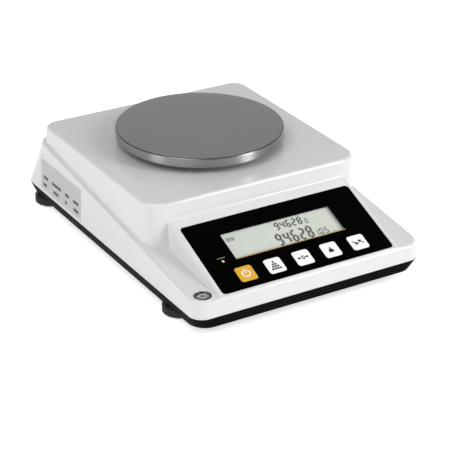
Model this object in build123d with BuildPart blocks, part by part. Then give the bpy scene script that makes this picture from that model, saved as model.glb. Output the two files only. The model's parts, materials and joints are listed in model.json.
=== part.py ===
"""A bench-top precision balance with a round steel pan, levelling feet and a sloping key panel.

Units are millimetres and degrees. X runs to the right, Y to the back and Z up. The origin is on
the bench, under the middle of the body.
"""
from build123d import *
import os
from math import cos, radians, sin, tan

os.makedirs("parts", exist_ok=True)

# Body: size at the seam between tray and housing, and the walls' lean
body_width = 190.0
body_depth = 271.0
body_corner = 10.5
corner_growth = 0.16
seam_height = 17.9
side_draft = 2.5
front_draft = 3.0
back_lean = 22.5
wall = 2.5

# Sloping deck round the platform
deck_front_height = 30.5
deck_slope = 6.7
deck_edge_radius = 2.0
seam_edge_radius = 0.6
foot_radius = 1.8

# Raised platform under the pan: the deck left round it, and its form
platform_side_ledge = 5.8
platform_back_ledge = 22.0
platform_top = 72.0
platform_corner = 16.5
platform_back_corner = 11.0
platform_draft = 2.4
platform_edge_radius = 2.4
pan_offset_y = 2.4

# Panel bezel, and the layout on its slope (v runs up the slope)
panel_angle = 21.44
bezel_side_ledge = 20.0
bezel_setback = 1.9
bezel_front_step = 0.53
bezel_edge_radius = 2.0
bezel_front_radius = 1.2
bezel_joint_radius = 1.0

# Control overlay, window and display, each set by the margin round it
overlay_side_margin = 3.65
overlay_front_margin = 1.73
overlay_back_margin = 8.83
overlay_height = 65.9
overlay_corner = 3.0
overlay_thickness = 1.0
overlay_sink = 0.3
window_side_margin = 25.35
window_top_margin = 14.1
window_height = 24.5
window_thickness = 0.8
lcd_side_margin = 3.0
lcd_top_margin = 2.75
lcd_thickness = 2.8
lcd_holder_rim = 3.0
display_board_side_margin = 3.35
display_board_top_margin = 3.95
display_board_depth = 8.0
board_thickness = 1.6
display_screw_side_inset = 5.0
display_screw_top_inset = 4.0

# Keys and the switches behind them
key_names = ["power", "counting", "zero", "calibration", "unit"]
key_size = 13.5
key_corner = 2.0
key_side_margin = 24.35
key_bottom_margin = 12.75
key_shift = 1.0
key_thickness = 1.1
key_travel = 0.4
key_gap = 0.25
plunger_radius = 1.6
plunger_reach = 0.5
switch_size = 6.0
switch_height = 3.6

# Status lamp, beside the display
lamp_gap = 4.1
lamp_rise = 0.7
lamp_radius = 1.0

# Bubble level in the front left corner of the deck
level_side_inset = 10.9
level_front_inset = 10.0
level_radius = 6.0
level_wall = 1.4
level_height = 8.3
level_proud = 0.18
level_land = 1.1
level_glass_thickness = 1.0
bubble_radius = 1.6

# Base tray
tray_underside = 9.0
tray_inset = 3.0
tray_corner_growth = 3.0
tray_floor = 3.0
tongue_height = 3.0
tongue_thickness = 1.8
tongue_gap = 0.25
rib_thickness = 1.6
rib_height = 5.0

# Housing screws, driven from below
housing_screw_side_inset = 9.0
housing_screw_front_inset = 29.0
housing_screw_middle_offset = 5.0
housing_screw_back_inset = 39.0
housing_screw_radius = 1.5
housing_screw_length = 14.0
housing_screw_hole_spare = 1.0
housing_screw_head_radius = 2.8
housing_screw_head_height = 1.8
housing_boss_radius = 3.8
housing_boss_seat = 1.0
housing_rib_gap = 1.0

# Levelling feet
foot_side_inset = 13.5
foot_front_inset = 47.0
foot_back_inset = 16.0
wheel_radius = 12.5
wheel_bottom = 1.2
wheel_height = 7.2
knurl_count = 36
knurl_depth = 0.8
stud_radius = 3.0
stud_top = 18.5
stud_gap = 0.05
stud_seat = 1.0
insert_radius = 4.5
insert_bottom = 10.0
insert_top = 20.0
foot_boss_radius = 7.5
pad_radius = 9.0
pad_pin_radius = 2.0
pad_pin_height = 2.4
pad_pin_gap = 0.05

# Load cell: a beam with a double-hole flexure
cell_end_room = 22.6
cell_width = 30.0
cell_height = 22.0
cell_bottom = 26.0
cell_hole_radius = 8.0
cell_hole_spacing = 22.0
cell_slot_height = 8.0
spacer_thickness = 2.0
spacer_length = 32.0
cell_bolt_radius = 3.0
cell_bolt_head_radius = 5.0
cell_bolt_head_height = 5.0
cell_bolt_head_depth = 1.0
cell_bolt_head_room = 1.0
cell_bolt_edge = 8.0
cell_bolt_pitch = 16.0
cell_bolt_grip = 14.0
bolt_gap = 0.05

# Carrier over the load cell and the pan support on top
bracket_thickness = 3.0
bracket_width = 36.0
bracket_lift = 2.0
bracket_pad_length = 28.0
wing_length = 44.0
wing_end_margin = 6.5
stop_shift = 0.75
stop_spacing_y = 30.0
stop_radius = 2.5
stop_gap = 0.6
stop_post_radius = 5.0
stop_post_top = 40.0
hub_radius = 12.0
hub_hole_radius = 17.0
hub_collar_height = 2.5
hub_collar_thickness = 2.5
support_lift = 4.0
support_thickness = 4.0
support_hub_radius = 15.0
arm_width = 10.0
support_screw_radius = 2.5
support_screw_head_radius = 4.5
support_screw_head_height = 2.6
support_screw_length = 18.0
buffer_radius = 4.5
buffer_height = 4.2
buffer_stem_radius = 2.0
buffer_rim_room = 8.5

# Weighing pan
pan_radius = 64.0
pan_thickness = 1.0
pan_rim_height = 7.85
pan_edge_radius = 1.2

# Main board, set by the room left round it
board_cell_room = 5.0
board_wall_room = 19.0
board_stop_room = 3.0
board_recess_room = 6.0
board_lift = 8.0
board_post_radius = 3.0
board_screw_inset = 4.0
header_depth = 6.0
header_height = 9.0
chip_size = 14.0
chip_height = 2.0
capacitor_radius = 4.0
capacitor_height = 9.0
capacitor_spacing = 30.0
small_screw_radius = 1.2
small_screw_length = 6.0
small_screw_head_radius = 2.2
small_screw_head_height = 1.4

# Cables inside
ribbon_width = 12.0
ribbon_thickness = 0.9
ribbon_shift = 0.25
ribbon_drop = 14.0
ribbon_header_height = 5.4
cell_cable_radius = 1.4
cell_cable_inset = 4.0
cell_cable_bend = 4.0

# Socket recess in the back wall
recess_x = 38.0
recess_width = 64.0
recess_bottom = 23.8
recess_height = 21.0
recess_depth = 25.0
plate_thickness = 1.5
plate_margin = 1.5
plate_corner = 2.0
plate_socket_gap = 0.5
socket_offset = 12.0
socket_reach = 6.0
socket_flange_width = 31.0
socket_flange_height = 12.5
socket_flange_thickness = 1.0
socket_flange_corner = 1.0
socket_housing_gap = 1.0
socket_shell_wall = 0.5
socket_width = 17.0
socket_flank_angle = 80.0
socket_shell_height = 8.6
socket_body_depth = 8.0
jackscrew_spacing = 24.99
jackscrew_flats = 4.8
jackscrew_height = 5.0
jackscrew_floor = 0.8
jackscrew_thread_radius = 1.42
jackscrew_hole_gap = 0.35
pin_pitch = 2.77
pin_row = 1.42
pin_hole_radius = 0.5
pin_hole_depth = 5.0
jack_offset = 20.0
jack_radius = 5.5
jack_flange_radius = 6.5
jack_flange_thickness = 1.5
jack_bore_radius = 2.9
jack_bore_depth = 9.5
jack_end_wall = 2.0
jack_pin_radius = 1.05

# Plate on the left side wall
label_back_inset = 28.25
label_length = 68.5
label_bottom = 21.0
label_height = 25.0
label_thickness = 0.3
label_corner = 1.0
label_sink = 0.25

# Clearances and small steps
cut_through = 1.0
fit_gap = 0.1
touching = 0.01
opening_gap = 0.25
least_corner = 1.0

stand = (Align.CENTER, Align.CENTER, Align.MIN)
hang = (Align.CENTER, Align.CENTER, Align.MAX)
header_align = (Align.CENTER, Align.MIN, Align.MIN)

# Panel and what lies on its slope, worked out from the body and the margins
front_y = -body_depth / 2
back_y = body_depth / 2
slope_cos = cos(radians(panel_angle))
panel_setback = bezel_setback + overlay_front_margin + overlay_height / 2 * slope_cos
panel_y = front_y + panel_setback
bezel_front_height = deck_front_height + bezel_front_step
panel_height = bezel_front_height + (panel_setback - bezel_setback) * tan(radians(panel_angle))
bezel_width = body_width - 2 * bezel_side_ledge
overlay_width = bezel_width - 2 * overlay_side_margin
window_width = overlay_width - 2 * window_side_margin
window_v = overlay_height / 2 - window_top_margin - window_height / 2
lcd_width = window_width + 2 * lcd_side_margin
lcd_height = window_height + 2 * lcd_top_margin
display_board_width = overlay_width - 2 * display_board_side_margin
display_board_height = overlay_height - 2 * display_board_top_margin
display_screw_x = display_board_width / 2 - display_screw_side_inset
display_screw_v = display_board_height / 2 - display_screw_top_inset
key_pitch = (overlay_width - 2 * key_side_margin) / (len(key_names) - 1)
key_v = -overlay_height / 2 + key_bottom_margin
lamp_x = -(lcd_width / 2 + lcd_holder_rim + lamp_gap)
lamp_v = window_v - window_height / 2 + lamp_rise
panel_plane = Plane(
    origin=(0, panel_y, panel_height),
    x_dir=(1, 0, 0),
    z_dir=(0, -sin(radians(panel_angle)), cos(radians(panel_angle))),
)
deck_plane = Plane(
    origin=(0, front_y, deck_front_height),
    x_dir=(1, 0, 0),
    z_dir=(0, -sin(radians(deck_slope)), cos(radians(deck_slope))),
)

# Platform and pan
overlay_reach = overlay_front_margin + overlay_height * slope_cos + overlay_back_margin
platform_front_y = front_y + bezel_setback + overlay_reach
platform_back_y = back_y - platform_back_ledge
platform_width = body_width - 2 * platform_side_ledge
platform_depth = platform_back_y - platform_front_y
platform_centre_y = (platform_front_y + platform_back_y) / 2
pan_centre_y = platform_centre_y - pan_offset_y
support_bottom = platform_top + support_lift
support_top = support_bottom + support_thickness
pan_underside = support_top + buffer_height
pan_top = pan_underside + pan_thickness
arm_reach = pan_radius - pan_thickness - buffer_radius - buffer_rim_room

# Plate on the side wall
label_middle = label_bottom + label_height / 2
label_y = back_y - label_back_inset - label_length / 2
side_plane = Plane(
    origin=(
        -body_width / 2 + (label_middle - seam_height) * tan(radians(side_draft)),
        label_y,
        label_middle,
    ),
    x_dir=(0, -1, 0),
    z_dir=(-cos(radians(side_draft)), 0, sin(radians(side_draft))),
)

# Tray, feet, screws, load cell, board and recess
skirt_top = deck_front_height + body_depth * tan(radians(deck_slope)) + wall
tray_floor_top = tray_underside + tray_floor
level_x = -body_width / 2 + level_side_inset
level_y = front_y + level_front_inset
level_top = deck_front_height + level_front_inset * tan(radians(deck_slope)) + level_proud
foot_x = body_width / 2 - foot_side_inset
foot_rows = [("front", front_y + foot_front_inset), ("rear", back_y - foot_back_inset)]
housing_screw_x = body_width / 2 - housing_screw_side_inset
housing_screw_rows = [
    front_y + housing_screw_front_inset,
    pan_centre_y - housing_screw_middle_offset,
    back_y - housing_screw_back_inset,
]
cell_length = platform_depth - 2 * cell_end_room
beam_front = pan_centre_y - cell_length / 2
beam_back = pan_centre_y + cell_length / 2
bezel_inner_x = bezel_width / 2 - wall
stop_x = (cell_width / 2 + bezel_inner_x) / 2 - stop_shift
wing_width = 2 * (stop_x + stop_radius + wing_end_margin)
cell_top = cell_bottom + cell_height
spacer_bottom = cell_bottom - spacer_thickness
bracket_bottom = cell_top + bracket_lift
bracket_top = bracket_bottom + bracket_thickness
recess_middle = recess_bottom + recess_height / 2
recess_floor_y = back_y - recess_depth
plate_face_y = recess_floor_y + plate_thickness
socket_x = recess_x - socket_offset
jack_x = recess_x + jack_offset
board_left = cell_width / 2 + board_cell_room
board_right = body_width / 2 - board_wall_room
board_front = pan_centre_y + stop_spacing_y / 2 + stop_post_radius + board_stop_room
board_back = recess_floor_y - board_recess_room
board_x = (board_left + board_right) / 2
board_y = (board_front + board_back) / 2
board_width = board_right - board_left
board_length = board_back - board_front
board_bottom = tray_floor_top + board_lift
board_top = board_bottom + board_thickness
ribbon_x = (stop_x + stop_post_radius + bezel_inner_x) / 2 - ribbon_shift
ribbon_level = board_top + ribbon_header_height
cell_cable_x = board_left + cell_cable_inset
key_places = [
    key_shift + (i - (len(key_names) - 1) / 2) * key_pitch for i in range(len(key_names))
]
housing_screw_points = [
    (side * housing_screw_x, y) for side in (-1, 1) for y in housing_screw_rows
]
foot_points = [
    (f"{row}_{side_name}", side * foot_x, y)
    for row, y in foot_rows
    for side_name, side in (("left", -1), ("right", 1))
]
foot_centres = [(x, y) for _, x, y in foot_points]
housing_screw_seat = tray_underside + housing_screw_head_height
housing_screw_tip = housing_screw_seat + housing_screw_length
cell_bolt_low = tray_underside + cell_bolt_head_depth
cell_bolt_seat = tray_underside + cell_bolt_head_height + cell_bolt_head_room
front_bolts = [(0, beam_front + cell_bolt_edge), (0, beam_front + cell_bolt_edge + cell_bolt_pitch)]
back_bolts = [(0, beam_back - cell_bolt_edge), (0, beam_back - cell_bolt_edge - cell_bolt_pitch)]
stop_points = [
    (side * stop_x, pan_centre_y + end * stop_spacing_y / 2) for side in (-1, 1) for end in (-1, 1)
]
board_post_points = [
    (
        board_x + side * (board_width / 2 - board_screw_inset),
        board_y + end * (board_length / 2 - board_screw_inset),
    )
    for side in (-1, 1)
    for end in (-1, 1)
]
display_screw_points = [
    (side * display_screw_x, end * display_screw_v) for side in (-1, 1) for end in (-1, 1)
]


def deck_height(y):
    """Height of the deck's outer face at y."""
    return deck_front_height + (y - front_y) * tan(radians(deck_slope))


def posts(points, radius, low, high, mode=Mode.ADD):
    """Upright round posts or holes at some points, between two heights."""
    with Locations(*[(x, y, low) for x, y in points]):
        Cylinder(radius, high - low, align=stand, mode=mode)


def pins(points, radius, low, high, mode=Mode.ADD):
    """Posts or holes square to the panel, between two heights over its slope."""
    with Locations(panel_plane):
        with Locations(*[(x, v, low) for x, v in points]):
            Cylinder(radius, high - low, align=stand, mode=mode)


def panel_block(width, height, x, v, low, high, mode=Mode.ADD):
    """A rectangular block square to the panel, between two heights over its slope."""
    with Locations(panel_plane):
        with Locations((x, v, low)):
            Box(width, height, high - low, align=stand, mode=mode)


def skirt_section(z, inset):
    """Size, middle and corner radius of the body's outline at a height."""
    rise = z - seam_height
    half_width = body_width / 2 - rise * tan(radians(side_draft)) - inset
    front = front_y + rise * tan(radians(front_draft)) + inset
    back = back_y - rise * tan(radians(back_lean)) - inset / cos(radians(back_lean))
    corner = body_corner + max(rise, 0) * corner_growth - inset
    return 2 * half_width, back - front, (front + back) / 2, max(corner, least_corner)


def tray_section(z, inset):
    """Size and corner radius of the tray's outline at a height."""
    depth = (seam_height - z) / (seam_height - tray_underside)
    lean = tray_inset * depth + inset
    corner = body_corner + tray_corner_growth * depth - inset
    return body_width - 2 * lean, body_depth - 2 * lean, max(corner, least_corner)


def platform_outline(z, inset):
    """The platform's outline at a height, with tighter corners at the back."""
    spread = (platform_top - z) * tan(radians(platform_draft)) - inset
    with BuildSketch(Plane.XY.offset(z)) as outline:
        with Locations((0, platform_centre_y)):
            Rectangle(platform_width + 2 * spread, platform_depth + 2 * spread)
        fillet(outline.vertices().group_by(Axis.Y)[0], radius=platform_corner + spread)
        fillet(outline.vertices().group_by(Axis.Y)[-1], radius=platform_back_corner + spread)
    return outline.sketch


def foot_edges(solid, standing):
    """The edges where the forms that stand on the deck meet it."""
    found = []
    for edge in solid.edges():
        places = [edge.position_at(u) for u in (0, 0.5, 1)]
        on_deck = all(abs(deck_plane.to_local_coords(place).Z) < touching for place in places)
        if on_deck and all(
            any(form.distance_to(place) < touching for form in standing) for place in places
        ):
            found.append(edge)
    return found


def bezel_joint(solid):
    """The long edge where the panel's slope meets the platform's front wall."""
    on_slope = [
        edge
        for edge in solid.edges().filter_by(GeomType.LINE)
        if abs(panel_plane.to_local_coords(edge.position_at(0.5)).Z) < touching
    ]
    return ShapeList(on_slope).group_by(Axis.Y)[-1].sort_by(SortBy.LENGTH)[-1]


def housing_form(inset, low):
    """The housing's outer form, or with an inset the room left inside its wall."""
    skirt_levels = (low, skirt_top)
    platform_levels = (low, platform_top - inset)
    bezel_front = front_y + bezel_setback + inset
    bezel_back = platform_front_y + platform_corner
    slope_rise = tan(radians(panel_angle))
    slope_drop = inset / cos(radians(panel_angle))
    with BuildPart() as skirt:
        for z in skirt_levels:
            width, depth, middle, corner = skirt_section(z, inset)
            with BuildSketch(Plane.XY.offset(z)):
                with Locations((0, middle)):
                    RectangleRounded(width, depth, corner)
        loft(ruled=True)
        split(bisect_by=deck_plane.offset(-inset), keep=Keep.BOTTOM)
        if inset == 0:
            fillet(skirt.faces().sort_by(Axis.Z)[-1].edges(), radius=deck_edge_radius)
            fillet(skirt.faces().sort_by(Axis.Z)[0].edges(), radius=seam_edge_radius)
    with BuildPart() as bezel:
        with BuildSketch(Plane.YZ):
            with BuildLine():
                Polyline(
                    (bezel_front, low),
                    (bezel_back, low),
                    (bezel_back, panel_height + (bezel_back - panel_y) * slope_rise - slope_drop),
                    (bezel_front, panel_height + (bezel_front - panel_y) * slope_rise - slope_drop),
                    close=True,
                )
            make_face()
        extrude(amount=bezel_width / 2 - inset, both=True)
        if inset == 0:
            slope = bezel.faces().sort_by(Axis.Z)[-1]
            sides = slope.edges().filter_by(GeomType.LINE).sort_by(Axis.X)
            fillet([sides[0], sides[-1]], radius=bezel_edge_radius)
    with BuildPart() as platform:
        for z in platform_levels:
            add(platform_outline(z, inset))
        loft(ruled=True)
        if inset == 0:
            fillet(platform.faces().sort_by(Axis.Z)[-1].edges(), radius=platform_edge_radius)
    with BuildPart() as form:
        add(platform.part)
        add(skirt.part)
        add(bezel.part)
        if inset == 0:
            fillet(foot_edges(form.part, [platform.part, bezel.part]), radius=foot_radius)
            fillet(bezel_joint(form.part), radius=bezel_joint_radius)
    if inset > 0:
        return form.part
    touch = bezel_front_radius / tan(radians(45 + panel_angle / 2))
    arc_centre = (bezel_front + bezel_front_radius, bezel_front_height - touch)
    with BuildPart() as front_corner:
        with BuildSketch(Plane.YZ):
            with BuildLine():
                Polyline(
                    (bezel_front, bezel_front_height),
                    (bezel_front, bezel_front_height - touch),
                    arc_centre,
                    (bezel_front + touch * slope_cos, bezel_front_height + touch * slope_cos * slope_rise),
                    close=True,
                )
            make_face()
            with Locations(arc_centre):
                Circle(bezel_front_radius, mode=Mode.SUBTRACT)
        extrude(amount=bezel_width / 2, both=True)
        add(skirt.part, mode=Mode.SUBTRACT)
    with BuildPart() as rounded_form:
        add(form.part)
        add(front_corner.part, mode=Mode.SUBTRACT)
    return rounded_form.part


# Hollow inside the housing: the inner form less the bosses, ribs and seats that stand in it
recess_block_low = recess_bottom - wall
recess_block_top = recess_bottom + recess_height + wall
level_bottom = level_top - level_height
with BuildPart() as hollow:
    add(housing_form(wall, seam_height - cut_through))
    for x, y in housing_screw_points:
        posts([(x, y)], housing_boss_radius, seam_height, deck_height(y), mode=Mode.SUBTRACT)
        side = 1 if x > 0 else -1
        rib_low = seam_height + tongue_height + housing_rib_gap
        with Locations((side * (housing_screw_x + wall), y, rib_low)):
            Box(4 * wall, rib_thickness, deck_height(y) - rib_low, align=stand, mode=Mode.SUBTRACT)
    posts([(level_x, level_y)], level_radius + wall, level_bottom - wall / 2, level_top, Mode.SUBTRACT)
    with Locations((recess_x, recess_floor_y - wall, recess_block_low)):
        Box(
            recess_width + 2 * wall,
            body_depth,
            recess_block_top - recess_block_low,
            align=(Align.CENTER, Align.MIN, Align.MIN),
            mode=Mode.SUBTRACT,
        )
    pins(display_screw_points, 2 * small_screw_radius, -display_board_depth, 0, Mode.SUBTRACT)
    roof_underside = platform_top - wall
    for offset in (-bracket_width, bracket_width):
        with Locations((offset, platform_centre_y, roof_underside)):
            Box(rib_thickness, platform_depth - wall, rib_height, align=hang, mode=Mode.SUBTRACT)
        with Locations((0, pan_centre_y + offset, roof_underside)):
            Box(platform_width - wall, rib_thickness, rib_height, align=hang, mode=Mode.SUBTRACT)

# Upper housing
key_opening = key_size + 2 * key_gap
with BuildPart() as upper_housing:
    add(housing_form(0, seam_height))
    posts([(level_x, level_y)], level_radius + level_land, level_bottom, level_top - overlay_sink)
    add(hollow.part, mode=Mode.SUBTRACT)
    posts([(0, pan_centre_y)], hub_hole_radius + hub_collar_thickness, roof_underside,
          platform_top + hub_collar_height)
    posts([(0, pan_centre_y)], hub_hole_radius, roof_underside - rib_height - cut_through,
          platform_top + hub_collar_height + cut_through, Mode.SUBTRACT)
    posts([(level_x, level_y)], level_radius + level_land, level_top - overlay_sink,
          level_top + level_height, Mode.SUBTRACT)
    posts([(level_x, level_y)], level_radius + fit_gap, level_bottom, level_top, Mode.SUBTRACT)
    posts(housing_screw_points, housing_screw_radius, seam_height - cut_through,
          housing_screw_tip + housing_screw_hole_spare, Mode.SUBTRACT)
    with BuildSketch(panel_plane):
        RectangleRounded(overlay_width + 2 * fit_gap, overlay_height + 2 * fit_gap, overlay_corner)
    extrude(amount=-(overlay_sink + overlay_thickness), mode=Mode.SUBTRACT)
    panel_block(window_width, window_height, 0, window_v, -wall - cut_through, 0, Mode.SUBTRACT)
    for x in key_places:
        panel_block(key_opening, key_opening, x, key_v, -wall - cut_through, 0, Mode.SUBTRACT)
    pins([(lamp_x, lamp_v)], lamp_radius + fit_gap, -wall - cut_through, 0, Mode.SUBTRACT)
    pins(display_screw_points, small_screw_radius, -display_board_depth - cut_through,
         -display_board_depth + small_screw_length - board_thickness, Mode.SUBTRACT)
    with Locations((recess_x, recess_floor_y, recess_bottom)):
        Box(
            recess_width,
            body_depth,
            recess_height,
            align=(Align.CENTER, Align.MIN, Align.MIN),
            mode=Mode.SUBTRACT,
        )
    with Locations((socket_x, recess_floor_y, recess_middle)):
        Box(
            socket_width + 2 * (socket_housing_gap + plate_socket_gap),
            4 * wall,
            socket_shell_height + 2 * socket_housing_gap,
            mode=Mode.SUBTRACT,
        )
    with Locations(Plane((0, recess_floor_y, recess_middle), x_dir=(1, 0, 0), z_dir=(0, 1, 0))):
        with Locations((jack_x, 0)):
            Cylinder(jack_radius + fit_gap, 4 * wall, mode=Mode.SUBTRACT)
        with Locations(
            (socket_x - jackscrew_spacing / 2, 0), (socket_x + jackscrew_spacing / 2, 0)
        ):
            Cylinder(jackscrew_thread_radius + jackscrew_hole_gap, 4 * wall, mode=Mode.SUBTRACT)
    with BuildSketch(side_plane):
        RectangleRounded(label_length + 2 * fit_gap, label_height + 2 * fit_gap, label_corner)
    extrude(amount=-label_sink, mode=Mode.SUBTRACT)
upper_housing.part.label = "upper_housing"
export_step(upper_housing.part, "parts/upper_housing.step")

# Base tray
boss_top = seam_height
with BuildPart() as base_tray:
    for z in (tray_underside, seam_height):
        with BuildSketch(Plane.XY.offset(z)):
            RectangleRounded(*tray_section(z, 0))
    loft(ruled=True)
    for z in (tray_floor_top, seam_height):
        with BuildSketch(Plane.XY.offset(z)):
            RectangleRounded(*tray_section(z, wall))
    loft(ruled=True, mode=Mode.SUBTRACT)
    tongue_width, tongue_depth, tongue_middle, _ = skirt_section(
        seam_height + tongue_height, wall + tongue_gap
    )
    tongue_corner = tray_section(tray_floor_top, wall)[2]
    with BuildSketch(Plane.XY.offset(tray_floor_top)):
        with Locations((0, tongue_middle)):
            RectangleRounded(tongue_width, tongue_depth, tongue_corner)
        with Locations((0, tongue_middle)):
            RectangleRounded(
                tongue_width - 2 * tongue_thickness,
                tongue_depth - 2 * tongue_thickness,
                max(tongue_corner - tongue_thickness, least_corner),
                mode=Mode.SUBTRACT,
            )
    extrude(amount=seam_height + tongue_height - tray_floor_top)
    for offset in (-bracket_width, bracket_width):
        with Locations((offset, 0, tray_floor_top)):
            Box(rib_thickness, body_depth - 2 * (tray_inset + wall), rib_height, align=stand)
    for y in (beam_front - bracket_width, pan_centre_y + 2 * bracket_width):
        with Locations((0, y, tray_floor_top)):
            Box(body_width - 2 * (tray_inset + wall), rib_thickness, rib_height, align=stand)
    posts(foot_centres, foot_boss_radius, tray_underside, insert_top)
    posts(housing_screw_points, housing_boss_radius + housing_boss_seat, tray_underside, boss_top)
    posts(stop_points, stop_post_radius, tray_underside, stop_post_top)
    posts(board_post_points, board_post_radius, tray_floor_top, board_bottom)
    with Locations((0, beam_front + spacer_length / 2, tray_underside)):
        Box(cell_width + 2 * wall, spacer_length + 2 * wall, spacer_bottom - tray_underside, align=stand)
    posts(foot_centres, insert_radius, tray_underside - cut_through, insert_top, Mode.SUBTRACT)
    posts(housing_screw_points, housing_screw_radius + fit_gap, tray_underside - cut_through,
          boss_top, Mode.SUBTRACT)
    posts(housing_screw_points, housing_screw_head_radius + opening_gap,
          tray_underside - cut_through, housing_screw_seat, Mode.SUBTRACT)
    posts(stop_points, stop_radius, tray_floor_top, stop_post_top, Mode.SUBTRACT)
    posts(board_post_points, small_screw_radius, tray_floor_top, board_bottom, Mode.SUBTRACT)
    posts(front_bolts, cell_bolt_radius + bolt_gap, tray_underside - cut_through, spacer_bottom,
          Mode.SUBTRACT)
    posts(front_bolts, cell_bolt_head_radius + opening_gap, tray_underside - cut_through,
          cell_bolt_seat, Mode.SUBTRACT)
base_tray.part.label = "base_tray"
export_step(base_tray.part, "parts/base_tray.step")

# Housing screws: pan heads in the tray's counterbores
with BuildPart() as housing_screws:
    posts(housing_screw_points, housing_screw_radius, housing_screw_seat, housing_screw_tip)
    posts(housing_screw_points, housing_screw_head_radius, tray_underside, housing_screw_seat)
housing_screws.part.label = "housing_screws"
export_step(housing_screws.part, "parts/housing_screws.step")

# Brass inserts for the foot studs
with BuildPart() as foot_inserts:
    posts(foot_centres, insert_radius, insert_bottom, insert_top)
    posts(foot_centres, stud_radius + stud_gap, insert_bottom, insert_top, Mode.SUBTRACT)
foot_inserts.part.label = "foot_inserts"
export_step(foot_inserts.part, "parts/foot_inserts.step")

# Feet: rubber pad with a pin, knurled wheel and stud
wheel_top = wheel_bottom + wheel_height
pad_pin_top = wheel_bottom + pad_pin_height
for name, x, y in foot_points:
    with BuildPart() as foot_pad:
        posts([(x, y)], pad_radius, 0, wheel_bottom)
        posts([(x, y)], pad_pin_radius, wheel_bottom, pad_pin_top)
    foot_pad.part.label = f"foot_pad_{name}"
    export_step(foot_pad.part, f"parts/foot_pad_{name}.step")

    with BuildPart() as foot_wheel:
        with BuildSketch(Plane.XY.offset(wheel_bottom)):
            with Locations((x, y)):
                Circle(wheel_radius)
                with PolarLocations(wheel_radius, knurl_count):
                    RegularPolygon(knurl_depth, 3, rotation=180, mode=Mode.SUBTRACT)
        extrude(amount=wheel_height)
        posts([(x, y)], pad_pin_radius + pad_pin_gap, wheel_bottom, pad_pin_top + fit_gap,
              Mode.SUBTRACT)
        posts([(x, y)], stud_radius, pad_pin_top + stud_seat, wheel_top, Mode.SUBTRACT)
    foot_wheel.part.label = f"foot_wheel_{name}"
    export_step(foot_wheel.part, f"parts/foot_wheel_{name}.step")

    with BuildPart() as foot_stud:
        posts([(x, y)], stud_radius, pad_pin_top + stud_seat, stud_top)
        chamfer(foot_stud.edges().sort_by(Axis.Z)[-1], length=stud_radius / 4)
    foot_stud.part.label = f"foot_stud_{name}"
    export_step(foot_stud.part, f"parts/foot_stud_{name}.step")

# Load cell beam
with BuildPart() as load_cell:
    with Locations((0, pan_centre_y, cell_bottom)):
        Box(cell_width, cell_length, cell_height, align=stand)
    with BuildSketch(Plane.YZ):
        with Locations((pan_centre_y, cell_bottom + cell_height / 2)):
            with GridLocations(cell_hole_spacing, 0, 2, 1):
                Circle(cell_hole_radius)
            Rectangle(cell_hole_spacing, cell_slot_height)
    extrude(amount=cell_width, both=True, mode=Mode.SUBTRACT)
    posts(front_bolts, cell_bolt_radius, cell_bottom, cell_bottom + cell_bolt_grip, Mode.SUBTRACT)
    posts(back_bolts, cell_bolt_radius + bolt_gap, cell_top - cell_bolt_grip - fit_gap, cell_top,
          Mode.SUBTRACT)
load_cell.part.label = "load_cell"
export_step(load_cell.part, "parts/load_cell.step")

# Spacer plate under the beam's fixed end
with BuildPart() as load_cell_spacer:
    with Locations((0, beam_front + spacer_length / 2, spacer_bottom)):
        Box(cell_width, spacer_length, spacer_thickness, align=stand)
    posts(front_bolts, cell_bolt_radius, spacer_bottom, cell_bottom, Mode.SUBTRACT)
load_cell_spacer.part.label = "load_cell_spacer"
export_step(load_cell_spacer.part, "parts/load_cell_spacer.step")

# Bolts through the tray into the beam's fixed end
with BuildPart() as load_cell_bolts:
    posts(front_bolts, cell_bolt_radius, cell_bolt_low, cell_bottom + cell_bolt_grip)
    posts(front_bolts, cell_bolt_head_radius, cell_bolt_low, cell_bolt_low + cell_bolt_head_height)
load_cell_bolts.part.label = "load_cell_bolts"
export_step(load_cell_bolts.part, "parts/load_cell_bolts.step")

# Overload stop screws on the tray's posts
with BuildPart() as overload_stops:
    posts(stop_points, stop_radius, tray_floor_top, bracket_bottom - stop_gap)
    posts(stop_points, stop_post_radius, stop_post_top, stop_post_top + stop_radius)
overload_stops.part.label = "overload_stops"
export_step(overload_stops.part, "parts/overload_stops.step")

# Carrier bracket on the beam's free end, reaching back over the beam to the middle of the pan
bracket_front = pan_centre_y - wing_length / 2
with BuildPart() as carrier_bracket:
    with Locations((0, (bracket_front + beam_back) / 2, bracket_bottom)):
        Box(bracket_width, beam_back - bracket_front, bracket_thickness, align=stand)
    with Locations((0, pan_centre_y, bracket_bottom)):
        Box(wing_width, wing_length, bracket_thickness, align=stand)
    fillet(carrier_bracket.edges().filter_by(Axis.Z), radius=bracket_thickness)
    with Locations((0, beam_back - bracket_pad_length / 2, cell_top)):
        Box(cell_width, bracket_pad_length, bracket_lift, align=stand)
    posts(back_bolts, cell_bolt_radius, cell_top, bracket_top, Mode.SUBTRACT)
    posts([(0, pan_centre_y)], support_screw_head_radius, bracket_bottom, bracket_top, Mode.SUBTRACT)
carrier_bracket.part.label = "carrier_bracket"
export_step(carrier_bracket.part, "parts/carrier_bracket.step")

# Bolts from the bracket into the beam's free end
with BuildPart() as carrier_bolts:
    posts(back_bolts, cell_bolt_radius, cell_top - cell_bolt_grip, bracket_top)
    posts(back_bolts, cell_bolt_head_radius, bracket_top, bracket_top + cell_bolt_head_height)
carrier_bolts.part.label = "carrier_bolts"
export_step(carrier_bolts.part, "parts/carrier_bolts.step")

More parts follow.
